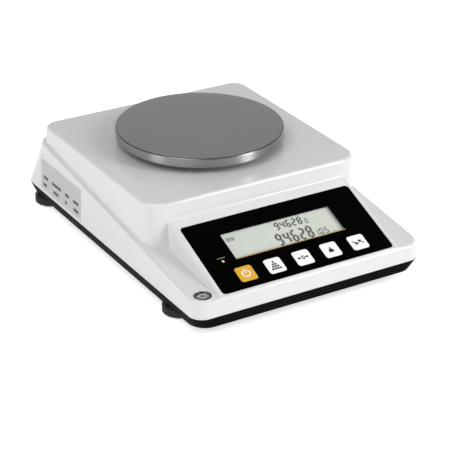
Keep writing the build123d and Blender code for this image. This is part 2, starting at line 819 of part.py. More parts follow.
# Hub post through the roof, spigoted into the bracket
with BuildPart() as hub_post:
    posts([(0, pan_centre_y)], hub_radius, bracket_top, support_bottom)
    posts([(0, pan_centre_y)], hub_radius + bracket_thickness, bracket_top,
          bracket_top + bracket_thickness)
    posts([(0, pan_centre_y)], support_screw_head_radius, bracket_bottom, bracket_top)
    posts([(0, pan_centre_y)], support_screw_radius, support_top - support_screw_length,
          support_bottom, Mode.SUBTRACT)
hub_post.part.label = "hub_post"
export_step(hub_post.part, "parts/hub_post.step")

# Four-armed pan support
with BuildPart() as pan_support:
    with BuildSketch(Plane.XY.offset(support_bottom)):
        with Locations((0, pan_centre_y)):
            Circle(support_hub_radius)
            with PolarLocations(arm_reach / 2, 4, start_angle=45):
                SlotOverall(arm_reach + arm_width, arm_width)
    extrude(amount=support_thickness)
    with Locations((0, pan_centre_y, support_bottom)):
        with PolarLocations(arm_reach, 4, start_angle=45):
            Cylinder(buffer_stem_radius, support_thickness, align=stand, mode=Mode.SUBTRACT)
    posts([(0, pan_centre_y)], support_screw_radius, support_bottom, support_top, Mode.SUBTRACT)
pan_support.part.label = "pan_support"
export_step(pan_support.part, "parts/pan_support.step")

# Screw that holds the support on the hub post
with BuildPart() as support_screw:
    posts([(0, pan_centre_y)], support_screw_radius, support_top - support_screw_length, support_top)
    posts([(0, pan_centre_y)], support_screw_head_radius, support_top,
          support_top + support_screw_head_height)
support_screw.part.label = "support_screw"
export_step(support_screw.part, "parts/support_screw.step")

# Rubber buffers that the pan lies on
with BuildPart() as pan_buffers:
    with Locations((0, pan_centre_y, support_bottom)):
        with PolarLocations(arm_reach, 4, start_angle=45):
            Cylinder(buffer_stem_radius, support_thickness, align=stand)
    with Locations((0, pan_centre_y, support_top)):
        with PolarLocations(arm_reach, 4, start_angle=45):
            Cylinder(buffer_radius, pan_underside - support_top, align=stand)
pan_buffers.part.label = "pan_buffers"
export_step(pan_buffers.part, "parts/pan_buffers.step")

# Weighing pan: spun sheet with a turned-down rim
with BuildPart() as weighing_pan:
    with BuildSketch(Plane.XZ.offset(-pan_centre_y)):
        with BuildLine():
            Polyline(
                (0, pan_underside),
                (0, pan_top),
                (pan_radius, pan_top),
                (pan_radius, pan_top - pan_rim_height),
                (pan_radius - pan_thickness, pan_top - pan_rim_height),
                (pan_radius - pan_thickness, pan_underside),
                close=True,
            )
        make_face()
    revolve(axis=Axis((0, pan_centre_y, 0), (0, 0, 1)))
    fillet(
        weighing_pan.edges().filter_by(GeomType.CIRCLE).group_by(Axis.Z)[-1], radius=pan_edge_radius
    )
weighing_pan.part.label = "weighing_pan"
export_step(weighing_pan.part, "parts/weighing_pan.step")

# Control overlay, sunk a little into the bezel
overlay_top = -overlay_sink
overlay_bottom = overlay_top - overlay_thickness
with BuildPart() as control_overlay:
    with BuildSketch(panel_plane.offset(overlay_bottom)):
        RectangleRounded(overlay_width, overlay_height, overlay_corner)
        with Locations((0, window_v)):
            Rectangle(window_width, window_height, mode=Mode.SUBTRACT)
        with Locations(*[(x, key_v) for x in key_places]):
            RectangleRounded(key_opening, key_opening, key_corner + key_gap, mode=Mode.SUBTRACT)
        with Locations((lamp_x, lamp_v)):
            Circle(lamp_radius + fit_gap, mode=Mode.SUBTRACT)
    extrude(amount=overlay_thickness)
control_overlay.part.label = "control_overlay"
export_step(control_overlay.part, "parts/control_overlay.step")

# Clear window, set in the housing's opening under the overlay
with BuildPart() as display_window:
    panel_block(window_width, window_height, 0, window_v, overlay_bottom - window_thickness,
                overlay_bottom)
display_window.part.label = "display_window"
export_step(display_window.part, "parts/display_window.step")

# Display panel under the window
lcd_top = -wall - fit_gap
lcd_bottom = lcd_top - lcd_thickness
with BuildPart() as lcd_panel:
    panel_block(lcd_width, lcd_height, 0, window_v, lcd_bottom, lcd_top)
lcd_panel.part.label = "lcd_panel"
export_step(lcd_panel.part, "parts/lcd_panel.step")

# Frame that holds the display panel on the board
with BuildPart() as lcd_holder:
    panel_block(lcd_width + 2 * lcd_holder_rim, lcd_height + 2 * lcd_holder_rim, 0, window_v,
                -display_board_depth, lcd_top)
    panel_block(lcd_width, lcd_height, 0, window_v, lcd_bottom, lcd_top, Mode.SUBTRACT)
lcd_holder.part.label = "lcd_holder"
export_step(lcd_holder.part, "parts/lcd_holder.step")

# Display board on four bosses behind the panel
with BuildPart() as display_board:
    panel_block(display_board_width, display_board_height, 0, 0,
                -display_board_depth - board_thickness, -display_board_depth)
    pins(display_screw_points, small_screw_radius, -display_board_depth - board_thickness,
         -display_board_depth, Mode.SUBTRACT)
display_board.part.label = "display_board"
export_step(display_board.part, "parts/display_board.step")

with BuildPart() as display_board_screws:
    display_screw_seat = -display_board_depth - board_thickness
    pins(display_screw_points, small_screw_radius, display_screw_seat,
         display_screw_seat + small_screw_length)
    pins(display_screw_points, small_screw_head_radius, display_screw_seat - small_screw_head_height,
         display_screw_seat)
display_board_screws.part.label = "display_board_screws"
export_step(display_board_screws.part, "parts/display_board_screws.step")

# Switches under the keys, bored for the plungers
key_bottom = -overlay_sink - key_thickness
switch_top = -display_board_depth + switch_height
plunger_bottom = switch_top - plunger_reach
with BuildPart() as switch_bodies:
    for x in key_places:
        panel_block(switch_size, switch_size, x, key_v, -display_board_depth, switch_top)
    pins([(x, key_v) for x in key_places], plunger_radius + fit_gap,
         plunger_bottom - key_travel - fit_gap, switch_top, Mode.SUBTRACT)
switch_bodies.part.label = "switch_bodies"
export_step(switch_bodies.part, "parts/switch_bodies.step")

# Keys and their plungers
for name, x in zip(key_names, key_places):
    with BuildPart() as key:
        with BuildSketch(panel_plane.offset(key_bottom)):
            with Locations((x, key_v)):
                RectangleRounded(key_size, key_size, key_corner)
        extrude(amount=key_thickness)
    key.part.label = f"{name}_key"
    export_step(key.part, f"parts/{name}_key.step")

    with BuildPart() as plunger:
        pins([(x, key_v)], plunger_radius, plunger_bottom, key_bottom)
    plunger.part.label = f"{name}_key_plunger"
    export_step(plunger.part, f"parts/{name}_key_plunger.step")

# Status lamp on the display board
with BuildPart() as status_lamp:
    pins([(lamp_x, lamp_v)], lamp_radius, -display_board_depth, overlay_top - fit_gap)
status_lamp.part.label = "status_lamp"
export_step(status_lamp.part, "parts/status_lamp.step")

# Bubble level: cup, fluid with the bubble left out, glass
level_centre = [(level_x, level_y)]
level_bore = level_radius - level_wall
level_fluid_bottom = level_bottom + level_wall
level_glass_bottom = level_top - level_wall / 2 - level_glass_thickness
with BuildPart() as level_cup:
    posts(level_centre, level_radius, level_bottom, level_top)
    posts(level_centre, level_bore, level_fluid_bottom, level_top, Mode.SUBTRACT)
    chamfer(level_cup.edges().group_by(Axis.Z)[-1], length=level_wall / 4)
level_cup.part.label = "level_cup"
export_step(level_cup.part, "parts/level_cup.step")

with BuildPart() as level_fluid:
    posts(level_centre, level_bore, level_fluid_bottom, level_glass_bottom)
    with Locations((level_x, level_y, level_glass_bottom)):
        Sphere(bubble_radius, mode=Mode.SUBTRACT)
level_fluid.part.label = "level_fluid"
export_step(level_fluid.part, "parts/level_fluid.step")

with BuildPart() as level_glass:
    posts(level_centre, level_bore, level_glass_bottom, level_glass_bottom + level_glass_thickness)
level_glass.part.label = "level_glass"
export_step(level_glass.part, "parts/level_glass.step")

# Main board with a chip, two capacitors and the two cable headers
ribbon_end_y = board_y - board_length / 2 + header_depth
cell_cable_end_y = board_y - board_length / 4
with BuildPart() as main_board:
    with Locations((board_x, board_y, board_bottom)):
        Box(board_width, board_length, board_thickness, align=stand)
    with Locations((ribbon_x, ribbon_end_y, board_top)):
        Box(ribbon_width + header_depth / 2, header_depth, header_height, align=header_align)
    with Locations((cell_cable_x, cell_cable_end_y, board_top)):
        Box(header_depth, header_depth, header_height, align=header_align)
    with Locations((board_x, board_y, board_top)):
        Box(chip_size, chip_size, chip_height, align=stand)
    with Locations((board_x, board_y + chip_size, board_top)):
        with GridLocations(capacitor_spacing, 0, 2, 1):
            Cylinder(capacitor_radius, capacitor_height, align=stand)
    posts(board_post_points, small_screw_radius, board_bottom, board_top, Mode.SUBTRACT)
main_board.part.label = "main_board"
export_step(main_board.part, "parts/main_board.step")

with BuildPart() as main_board_screws:
    posts(board_post_points, small_screw_radius, board_top - small_screw_length, board_top)
    posts(board_post_points, small_screw_head_radius, board_top, board_top + small_screw_head_height)
main_board_screws.part.label = "main_board_screws"
export_step(main_board_screws.part, "parts/main_board_screws.step")

# Ribbon cable from the display board's back to the main board's header
ribbon_start = panel_plane.from_local_coords(
    Vector(0, display_screw_v - header_depth, -display_board_depth - board_thickness)
)
ribbon_bend = ribbon_start - panel_plane.z_dir * ribbon_drop
with BuildPart() as ribbon_cable:
    with BuildSketch(Plane.YZ.offset(ribbon_x - ribbon_width / 2)):
        with BuildLine() as ribbon_path:
            FilletPolyline(
                (ribbon_start.Y, ribbon_start.Z),
                (ribbon_bend.Y, ribbon_bend.Z),
                (ribbon_end_y - ribbon_drop, ribbon_level),
                (ribbon_end_y, ribbon_level),
                radius=ribbon_drop / 2,
            )
        trace(line_width=ribbon_thickness)
    extrude(amount=ribbon_width)
ribbon_cable.part.label = "ribbon_cable"
export_step(ribbon_cable.part, "parts/ribbon_cable.step")

# Load cell cable from the beam's side to the main board's small header
cell_cable_start = Vector(cell_width / 2, beam_front + spacer_length, cell_bottom + cell_height / 2)
cell_cable_level = board_top + header_height / 2
with BuildPart() as load_cell_cable:
    with BuildLine() as cell_cable_path:
        FilletPolyline(
            cell_cable_start,
            (cell_cable_x, cell_cable_start.Y, cell_cable_start.Z),
            (cell_cable_x, pan_centre_y, cell_cable_start.Z - cell_cable_bend),
            (cell_cable_x, cell_cable_end_y - 2 * cell_cable_bend, cell_cable_level),
            (cell_cable_x, cell_cable_end_y, cell_cable_level),
            radius=cell_cable_bend,
        )
    with BuildSketch(Plane(cell_cable_start, z_dir=(1, 0, 0))):
        Circle(cell_cable_radius)
    sweep()
load_cell_cable.part.label = "load_cell_cable"
export_step(load_cell_cable.part, "parts/load_cell_cable.step")

# Port plate in the recess, with its openings
port_plane = Plane((0, plate_face_y, recess_middle), x_dir=(1, 0, 0), z_dir=(0, 1, 0))
jackscrew_points = [(socket_x + side * jackscrew_spacing / 2, 0) for side in (-1, 1)]


def port_rods(points, radius, low, high, mode=Mode.ADD):
    """Round rods or holes along the sockets' axis, measured from the port plate's face."""
    with Locations(port_plane):
        with Locations(*[(x, v, low) for x, v in points]):
            Cylinder(radius, high - low, align=stand, mode=mode)


with BuildPart() as port_plate:
    with BuildSketch(port_plane.offset(-plate_thickness)):
        with Locations((recess_x, 0)):
            RectangleRounded(
                recess_width - 2 * plate_margin, recess_height - 2 * plate_margin, plate_corner
            )
        with Locations((socket_x, 0)):
            Rectangle(
                socket_width + 2 * plate_socket_gap,
                socket_shell_height + 2 * plate_socket_gap,
                mode=Mode.SUBTRACT,
            )
        with Locations((jack_x, 0)):
            Circle(jack_radius + fit_gap, mode=Mode.SUBTRACT)
        with Locations(*jackscrew_points):
            Circle(jackscrew_thread_radius + jackscrew_hole_gap, mode=Mode.SUBTRACT)
    extrude(amount=plate_thickness)
port_plate.part.label = "port_plate"
export_step(port_plate.part, "parts/port_plate.step")

# Nine-way socket: flanged shell with a D outline, insulator with its pin holes, jackscrews
with BuildPart() as serial_socket_shell:
    with BuildSketch(port_plane):
        with Locations((socket_x, 0)):
            RectangleRounded(socket_flange_width, socket_flange_height, socket_flange_corner)
    extrude(amount=socket_flange_thickness)
    with BuildSketch(port_plane):
        with Locations((socket_x, 0)):
            Trapezoid(socket_width, socket_shell_height, socket_flank_angle)
    extrude(amount=socket_reach)
    with BuildSketch(port_plane):
        with Locations((socket_x, 0)):
            Trapezoid(
                socket_width - 2 * socket_shell_wall,
                socket_shell_height - 2 * socket_shell_wall,
                socket_flank_angle,
            )
    extrude(amount=socket_reach, mode=Mode.SUBTRACT)
    port_rods(jackscrew_points, jackscrew_thread_radius, 0, socket_flange_thickness, Mode.SUBTRACT)
serial_socket_shell.part.label = "serial_socket_shell"
export_step(serial_socket_shell.part, "parts/serial_socket_shell.step")

pin_points = [
    (socket_x + (i - (count - 1) / 2) * pin_pitch, v)
    for count, v in ((5, -pin_row), (4, pin_row))
    for i in range(count)
]
with BuildPart() as serial_socket_insulator:
    with BuildSketch(port_plane.offset(-socket_body_depth)):
        with Locations((socket_x, 0)):
            Trapezoid(
                socket_width - 2 * socket_shell_wall,
                socket_shell_height - 2 * socket_shell_wall,
                socket_flank_angle,
            )
    extrude(amount=socket_body_depth + socket_reach)
    port_rods(pin_points, pin_hole_radius, socket_reach - pin_hole_depth, socket_reach, Mode.SUBTRACT)
serial_socket_insulator.part.label = "serial_socket_insulator"
export_step(serial_socket_insulator.part, "parts/serial_socket_insulator.step")

with BuildPart() as serial_jackscrews:
    with BuildSketch(port_plane.offset(socket_flange_thickness)):
        with Locations(*jackscrew_points):
            RegularPolygon(jackscrew_flats / 2, 6, major_radius=False)
    extrude(amount=jackscrew_height)
    port_rods(jackscrew_points, jackscrew_thread_radius, -socket_body_depth, socket_flange_thickness)
    port_rods(jackscrew_points, jackscrew_thread_radius, socket_flange_thickness + jackscrew_floor,
              socket_flange_thickness + jackscrew_height, Mode.SUBTRACT)
serial_jackscrews.part.label = "serial_jackscrews"
export_step(serial_jackscrews.part, "parts/serial_jackscrews.step")

# Power jack: flanged barrel with its centre pin
jack_centre = [(jack_x, 0)]
with BuildPart() as power_jack:
    port_rods(jack_centre, jack_radius, jack_flange_thickness - jack_bore_depth - jack_end_wall, 0)
    port_rods(jack_centre, jack_flange_radius, 0, jack_flange_thickness)
    port_rods(jack_centre, jack_bore_radius, jack_flange_thickness - jack_bore_depth,
              jack_flange_thickness, Mode.SUBTRACT)
power_jack.part.label = "power_jack"
export_step(power_jack.part, "parts/power_jack.step")

with BuildPart() as power_jack_pin:
    port_rods(jack_centre, jack_pin_radius, jack_flange_thickness - jack_bore_depth, 0)
power_jack_pin.part.label = "power_jack_pin"
export_step(power_jack_pin.part, "parts/power_jack_pin.step")

# Plate on the left side wall, in a shallow pocket on the wall's draft
with BuildPart() as side_plate:
    with BuildSketch(side_plane.offset(-label_sink)):
        RectangleRounded(label_length, label_height, label_corner)
    extrude(amount=label_thickness)
side_plate.part.label = "side_plate"
export_step(side_plate.part, "parts/side_plate.step")
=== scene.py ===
import json
from math import cos, pi, radians, sin, tau

import bmesh
import bpy
from mathutils import Matrix, Vector


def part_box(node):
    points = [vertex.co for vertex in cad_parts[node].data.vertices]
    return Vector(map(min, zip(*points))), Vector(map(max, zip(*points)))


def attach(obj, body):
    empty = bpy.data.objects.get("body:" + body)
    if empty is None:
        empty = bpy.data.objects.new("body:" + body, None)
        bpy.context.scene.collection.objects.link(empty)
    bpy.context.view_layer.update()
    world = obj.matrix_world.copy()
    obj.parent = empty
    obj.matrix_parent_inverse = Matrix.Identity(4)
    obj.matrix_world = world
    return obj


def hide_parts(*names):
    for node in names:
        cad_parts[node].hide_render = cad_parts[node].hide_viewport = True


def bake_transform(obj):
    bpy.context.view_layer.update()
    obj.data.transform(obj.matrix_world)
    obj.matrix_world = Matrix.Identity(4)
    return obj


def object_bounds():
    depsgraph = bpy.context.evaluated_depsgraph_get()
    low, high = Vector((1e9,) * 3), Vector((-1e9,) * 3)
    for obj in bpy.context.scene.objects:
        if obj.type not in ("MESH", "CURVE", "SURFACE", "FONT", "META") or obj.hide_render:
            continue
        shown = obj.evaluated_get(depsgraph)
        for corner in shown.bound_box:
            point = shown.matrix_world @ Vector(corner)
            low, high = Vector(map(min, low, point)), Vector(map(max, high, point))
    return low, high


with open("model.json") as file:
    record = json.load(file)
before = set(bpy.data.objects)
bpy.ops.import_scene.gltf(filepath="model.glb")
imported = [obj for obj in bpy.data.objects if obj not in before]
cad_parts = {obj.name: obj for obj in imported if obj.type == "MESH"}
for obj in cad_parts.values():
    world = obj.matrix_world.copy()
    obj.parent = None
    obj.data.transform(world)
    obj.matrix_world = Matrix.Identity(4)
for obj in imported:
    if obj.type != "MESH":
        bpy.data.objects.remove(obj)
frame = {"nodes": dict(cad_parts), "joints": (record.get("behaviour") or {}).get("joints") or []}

bl_info = {
    "name": "Precision Balance",
    "version": (1, 0, 0),
    "blender": (4, 5, 0),
    "location": "3D View > Sidebar > Balance",
    "description": "Housing, pan, panel, feet and studio of a bench-top precision balance",
    "category": "Object",
}

MM = 0.001
MERGE = 0.01 * MM
CAD_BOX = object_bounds()

# The range that noise mostly stays in, of the 0 to 1 that it could reach
NOISE_LOW = 0.3
NOISE_HIGH = 0.7

OVERLAY_MM = 1.0
KEY_NAMES = ("power", "counting", "zero", "calibration", "unit")
FOOT_NAMES = ("front_left", "front_right", "rear_left", "rear_right")

# Keys: strokes of the signs, how deep a sign sits in its key, and rounding of a key's corners
SIGN_MM = 0.95
SINK_MM = 0.01
KEY_CORNER_MM = 2.0

# How far print stands out of the display, the level's glass and the label; the level's painted glints stand
# out as far as its ring
SEGMENT_MM = 0.05
RING_MM = 0.02
BARS_MM = 0.03

# Hole in a wheel for the pad's pin, as a share of the stud's radius
PIN_HOLE = 0.7

# Housing screws: height of a head, and sizes of slot and shaft as shares of the head's
SCREW_HEAD = 1.8 * MM
SLOT_LENGTH = 1.25
SLOT_WIDTH = 0.3
SLOT_DEPTH = 0.9
SHAFT_RADIUS = 0.53

# Camera, as measured from the photograph
CAMERA_PLACE = (-0.599674, -1.012548, 0.597887)
CAMERA_YAW = -0.541043
CAMERA_PITCH = -0.463215
CAMERA_ROLL = 0.004949
CAMERA_LENS = 137.64

# Where the room's dark and bright walls stand, seen from the object
DARK_WALL = (-0.292, -0.956, 0.0)
BRIGHT_WALL = (0.459, 0.764, 0.454)

# Over which range each band of the room blends into the rest: of height for the ceiling and the
# skirting, of nearness to a wall's middle for the walls
CEILING_BAND = (0.72, 0.94)
SKIRTING_BAND = (0.13, 0.19)
DARK_BAND = (0.74, 0.9)
BRIGHT_BAND = (0.8, 0.93)


def linear(hex_colour):
    """An sRGB hex colour as linear RGBA."""
    channels = [int(hex_colour[i:i + 2], 16) / 255 for i in (1, 3, 5)]
    return [c / 12.92 if c <= 0.04045 else ((c + 0.055) / 1.055) ** 2.4 for c in channels] + [1.0]


def empty_tree(owner):
    """The node tree of a material or a world, with nothing in it yet."""
    owner.use_nodes = True
    owner.node_tree.nodes.clear()
    return owner.node_tree


def add_node(tree, kind, settings=None, inputs=None):
    """Adds a node with its settings and inputs.

    An input is a value, or the socket to link to it, or a node whose first output is linked.
    """
    node = tree.nodes.new(kind)
    for name, value in (settings or {}).items():
        setattr(node, name, value)
    for name, value in (inputs or {}).items():
        if isinstance(value, bpy.types.Node):
            value = value.outputs[0]
        if isinstance(value, bpy.types.NodeSocket):
            tree.links.new(value, node.inputs[name])
        else:
            node.inputs[name].default_value = value
    return node


class Finish:
    """A material in the making: a Principled shader, and Object coordinates for its patterns."""

    def __init__(self, name, colour, roughness, **constants):
        self.material = bpy.data.materials.new(name)
        self.tree = empty_tree(self.material)
        values = {"Base Color": linear(colour), "Roughness": roughness}
        values.update({key.replace("_", " "): value for key, value in constants.items()})
        self.shader = add_node(self.tree, "ShaderNodeBsdfPrincipled", inputs=values)
        add_node(self.tree, "ShaderNodeOutputMaterial", inputs={"Surface": self.shader})
        self.place = add_node(self.tree, "ShaderNodeTexCoord").outputs["Object"]

    def drive(self, name, socket):
        """Lets a pattern or a direction set one of the shader's inputs."""
        self.tree.links.new(socket, self.shader.inputs[name])

    def vary(self, size_mm=1.0, detail=2.0, along=None, stretch=None, pattern=None,
             colours=None, roughness=None, depth_mm=None):
        """Breaks up the colours, the roughness or the surface by noise, or by a pattern of its own.

        The noise has lumps about size_mm across, which stretch draws out. Along a distance it makes
        lines or rings that far apart.
        """
        if pattern is None:
            source = {"Vector": self.place} if along is None else {"W": along}
            if stretch:
                source["Vector"] = add_node(
                    self.tree, "ShaderNodeMapping", inputs={**source, "Scale": stretch}
                )
            pattern = add_node(
                self.tree, "ShaderNodeTexNoise", {"noise_dimensions": "3D" if along is None else "1D"},
                {**source, "Scale": 1 / (size_mm * MM), "Detail": detail},
            ).outputs["Fac"]
        if colours:
            mixed = add_node(
                self.tree, "ShaderNodeMix", {"data_type": "RGBA"},
                {"Factor": pattern, "A": linear(colours[0]), "B": linear(colours[1])},
            )
            self.drive("Base Color", mixed.outputs[2])
        if roughness:
            ranged = add_node(self.tree, "ShaderNodeMapRange", inputs={
                "Value": pattern, "From Min": NOISE_LOW, "From Max": NOISE_HIGH,
                "To Min": roughness[0], "To Max": roughness[1],
            })
            self.drive("Roughness", ranged.outputs["Result"])
        if depth_mm:
            bump = add_node(
                self.tree, "ShaderNodeBump",
                inputs={"Height": pattern, "Distance": depth_mm * MM, "Strength": 1.0},
            )
            self.drive("Normal", bump.outputs["Normal"])
        return self


def glossy_abs():
    """White ABS from a polished mould: a clear reflection with a faint orange peel."""
    look = Finish("glossy_abs", "#DCDCDC", 0.04, IOR=1.58)
    look.vary(60, colours=("#DADADA", "#DEDEDD"))
    look.vary(18, 4, roughness=(0.03, 0.055))
    return look.vary(7, depth_mm=0.003).material


def textured_abs():
    """Black ABS from a spark-eroded mould: a dull, finely pitted skin, drawn a little coarse."""
    look = Finish("textured_abs", "#070708", 0.5, Specular_IOR_Level=0.05, IOR=1.25)
    look.vary(30, colours=("#060607", "#0A0A0B"))
    look.vary(1.2, roughness=(0.42, 0.58))
    return look.vary(0.6, 3, depth_mm=0.03).material


def satin_steel(centre):
    """Stainless steel, spun and bead-blasted: an even grey with rings too faint to count."""
    look = Finish("satin_steel", "#A2A2A2", 0.34, Metallic=1.0)
    look.vary(25, 3, colours=("#9F9F9F", "#A5A5A5"))
    radius = look.place
    for operation, value in (("SUBTRACT", centre), ("MULTIPLY", (1, 1, 0)), ("LENGTH", (0, 0, 0))):
        radius = add_node(
            look.tree, "ShaderNodeVectorMath", {"operation": operation}, {0: radius, 1: value}
        )
    look.vary(0.7, 3, along=radius.outputs["Value"], roughness=(0.31, 0.37))
    return look.vary(0.5, depth_mm=0.002).material


def brushed_steel():
    """Stainless rim, brushed round its edge, so that each lamp draws an upright streak on it."""
    look = Finish("brushed_steel", "#9D9D9D", 0.4, Metallic=1.0, Anisotropic=0.95)
    height = add_node(look.tree, "ShaderNodeSeparateXYZ", inputs={"Vector": look.place}).outputs["Z"]
    look.vary(0.4, 3, along=height, colours=("#8E8E8E", "#9A9A9A"), roughness=(0.36, 0.44))
    look.drive("Tangent", add_node(look.tree, "ShaderNodeCombineXYZ", inputs={"Z": 1.0}).outputs["Vector"])
    return look.material


def ground_steel_painted_dark():
    """The pan's edge between top and rim, ground smooth and coloured darker than the rest of the steel:
    painted shade that draws it as a fine dark line, besides its real mirror of the ceiling.
    """
    look = Finish("ground_steel_painted_dark", "#747474", 0.2, Metallic=1.0)
    look.vary(6, colours=("#6E6E6E", "#7A7A7A"))
    return look.vary(1, roughness=(0.16, 0.24)).material


def coated_film():
    """Black back-printed polyester with a hard coat: deep black and a soft, low sheen."""
    look = Finish("coated_film", "#010101", 0.3, Specular_IOR_Level=0.02)
    look.vary(5, roughness=(0.26, 0.34))
    return look.vary(2, depth_mm=0.001).material


def display_glass():
    """Reflective liquid crystal glass: a flat grey-green, a little mottled by its back reflector."""
    look = Finish("display_glass", "#CFD4CA", 0.35)
    look.vary(0.5, colours=("#CDD2C8", "#D2D7CD"))
    return look.vary(4, roughness=(0.3, 0.4)).material


def display_segment():
    """Liquid crystal turned dark: nearly black, with a trace of green."""
    return Finish("display_segment", "#060706", 0.4).vary(0.8, colours=("#040504", "#080A08")).material


def pale_segment():
    """Liquid crystal of the small signs, printed finer and so paler to the eye."""
    return Finish("pale_segment", "#343733", 0.4).vary(0.8, colours=("#313430", "#383B37")).material


def clear_window():
    """Clear acrylic window: almost unseen, with a clean gloss."""
    return Finish("clear_window", "#F4F6F4", 0.06, Alpha=0.08).vary(10, roughness=(0.05, 0.08)).material


def key_film(name, colour, low, high):
    """Key face printed behind clear polyester: even colour and a satin face."""
    look = Finish(name, colour, 0.35)
    look.vary(3, colours=(low, high))
    return look.vary(0.35, depth_mm=0.002).material


def ink(name, colour):
    """Screen ink: one matt colour with the faint mottle of the mesh. The level's pale arcs use it as
    painted glints.
    """
    return Finish(name, colour, 0.5).vary(0.4, roughness=(0.42, 0.58)).material


def lamp_lens():
    """Diffused epoxy lamp, unlit: milky and softly glossy."""
    look = Finish("lamp_lens", "#EBD8A4", 0.25, Subsurface_Weight=0.3, Subsurface_Scale=0.001)
    return look.vary(0.8, colours=("#E8D298", "#F0E0B4")).material


def moulded_rubber():
    """Black nitrile rubber: dull and dusty."""
    look = Finish("moulded_rubber", "#1B1B1C", 0.8)
    look.vary(4, 4, colours=("#171718", "#232324"))
    return look.vary(0.5, 3, depth_mm=0.02).material


def moulded_nylon(name, low, high):
    """Moulded nylon or ABS of the small parts: plain colour with a half-matt skin. The window's walls use
    it in a grey that is painted shade.
    """
    look = Finish(name, low, 0.42)
    look.vary(8, 3, colours=(low, high))
    look.vary(1.0, roughness=(0.36, 0.48))
    return look.vary(0.5, depth_mm=0.008).material


def milled_aluminium():
    """Aluminium bar, milled: bright, with fine cutter lines along the beam."""
    look = Finish("milled_aluminium", "#C3C5C7", 0.3, Metallic=1.0)
    return look.vary(0.25, 3, stretch=(1.0, 0.02, 1.0), roughness=(0.24, 0.38), depth_mm=0.004).material


def cast_alloy():
    """Die-cast alloy, tumbled: soft grey with a pebbled skin."""
    look = Finish("cast_alloy", "#A5A7A9", 0.45, Metallic=1.0)
    look.vary(6, 3, colours=("#9DA0A2", "#ADAFB1"))
    look.vary(1.5, roughness=(0.38, 0.52))
    return look.vary(0.8, 3, depth_mm=0.02).material


def plated_steel(name, colour):
    """Plated steel of screws and studs: bright, with a faint bloom in the plating."""
    return Finish(name, colour, 0.25, Metallic=1.0).vary(6, roughness=(0.24, 0.32), depth_mm=0.002).material


def turned_brass():
    """Turned brass insert: warm yellow with tool rings."""
    look = Finish("turned_brass", "#C9A557", 0.28, Metallic=1.0)
    height = add_node(look.tree, "ShaderNodeSeparateXYZ", inputs={"Vector": look.place}).outputs["Z"]
    return look.vary(0.25, 3, along=height, roughness=(0.2, 0.36), depth_mm=0.01).material


def circuit_board():
    """Glass-epoxy board under green solder resist, with the tracks showing as paler lines."""
    look = Finish("circuit_board", "#14592F", 0.3)
    tracks = add_node(look.tree, "ShaderNodeTexBrick", inputs={
        "Vector": look.place, "Scale": 1 / (4 * MM), "Mortar Size": 0.06,
        "Color1": linear("#115029"), "Color2": linear("#145B30"), "Mortar": linear("#2C7D4A"),
    })
    look.drive("Base Color", tracks.outputs["Color"])
    return look.vary(0.8, depth_mm=0.01).material


def ribbon_sheath():
    """Grey PVC ribbon cable: the lands between its conductors show as fine stripes."""
    look = Finish("ribbon_sheath", "#9A9C9E", 0.45)
    stripes = add_node(
        look.tree, "ShaderNodeTexWave", {"bands_direction": "X"},
        {"Vector": look.place, "Scale": 1 / (1.27 * MM) / 20, "Distortion": 0.0},
    )
    return look.vary(pattern=stripes.outputs["Fac"], colours=("#84878A", "#A9ABAD"), depth_mm=0.2).material


def cable_sheath():
    """Grey PVC cable: soft, half matt."""
    look = Finish("cable_sheath", "#8C8E90", 0.5)
    look.vary(5, colours=("#858789", "#939597"))
    return look.vary(0.6, depth_mm=0.01).material


def silver_label():
    """Metallised polyester label: silver-grey with a brushed look along its length."""
    look = Finish("silver_label", "#B6B6B6", 0.38, Metallic=0.3)
    look.vary(0.4, 3, stretch=(1.0, 0.03, 1.0), colours=("#B2B2B2", "#BBBBBB"), roughness=(0.32, 0.44))
    return look.material


def blackened_metal():
    """Bubble level's cup: turned and blackened, with a dark shine."""
    look = Finish("blackened_metal", "#4A4B4D", 0.3, Metallic=1.0)
    look.vary(1.5, 3, colours=("#434446", "#545557"))
    return look.vary(0.6, roughness=(0.24, 0.36)).material


def level_spirit():
    """Spirit of the bubble level over its dark cup: a dull grey-green that light only half enters."""
    look = Finish("level_spirit", "#6C7068", 0.05, Transmission_Weight=0.3, IOR=1.36)
    return look.vary(3, colours=("#666A62", "#72766E")).material


def level_lens():
    """Glass over the bubble: clear and sharp."""
    return Finish("level_lens", "#FFFFFF", 0.03, Alpha=0.18).vary(2, roughness=(0.02, 0.05)).material


def painted_sheet():
    """Black painted steel sheet of the port plate: fine texture paint."""
    look = Finish("painted_sheet", "#1C1C1E", 0.5)
    look.vary(0.8, roughness=(0.42, 0.6))
    return look.vary(0.5, 3, depth_mm=0.02).material


def key_joint_axis():
    """The way out of the panel, against which the power key is pressed."""
    for joint in frame["joints"]:
        if joint["name"] == "power_key_press":
            return -Vector(joint["axis"]).normalized()
    raise RuntimeError("the packed model has no joint named power_key_press")


def middle_of(node):
    """The middle of a CAD node's box."""
    low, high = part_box(node)
    return (low + high) / 2


# Panel: its slope comes from the power key's joint, its middle from the overlay's own box
PANEL_OUT = key_joint_axis()
PANEL_ACROSS = Vector((1, 0, 0))
PANEL_UP = PANEL_OUT.cross(PANEL_ACROSS)
PANEL_MIDDLE = middle_of("control_overlay") + PANEL_OUT * OVERLAY_MM * MM / 2


def on_panel(across_mm, up_mm, out_mm):
    """A point over the overlay's face."""
    return PANEL_MIDDLE + (PANEL_ACROSS * across_mm + PANEL_UP * up_mm + PANEL_OUT * out_mm) * MM


def panel_place(point):
    """Millimetres across and up the overlay's face, and out of it, of a point."""
    offset = (Vector(point) - PANEL_MIDDLE) / MM
    return offset.dot(PANEL_ACROSS), offset.dot(PANEL_UP), offset.dot(PANEL_OUT)


def box_of(points):
    """Lowest and highest corner round some points."""
    return [Vector([pick(p[i] for p in points) for i in range(3)]) for pick in (min, max)]


def panel_box(node):
    """Lowest and highest corner of a CAD node in mm across, up and out of the panel."""
    return box_of([panel_place(v.co) for v in frame["nodes"][node].data.vertices])


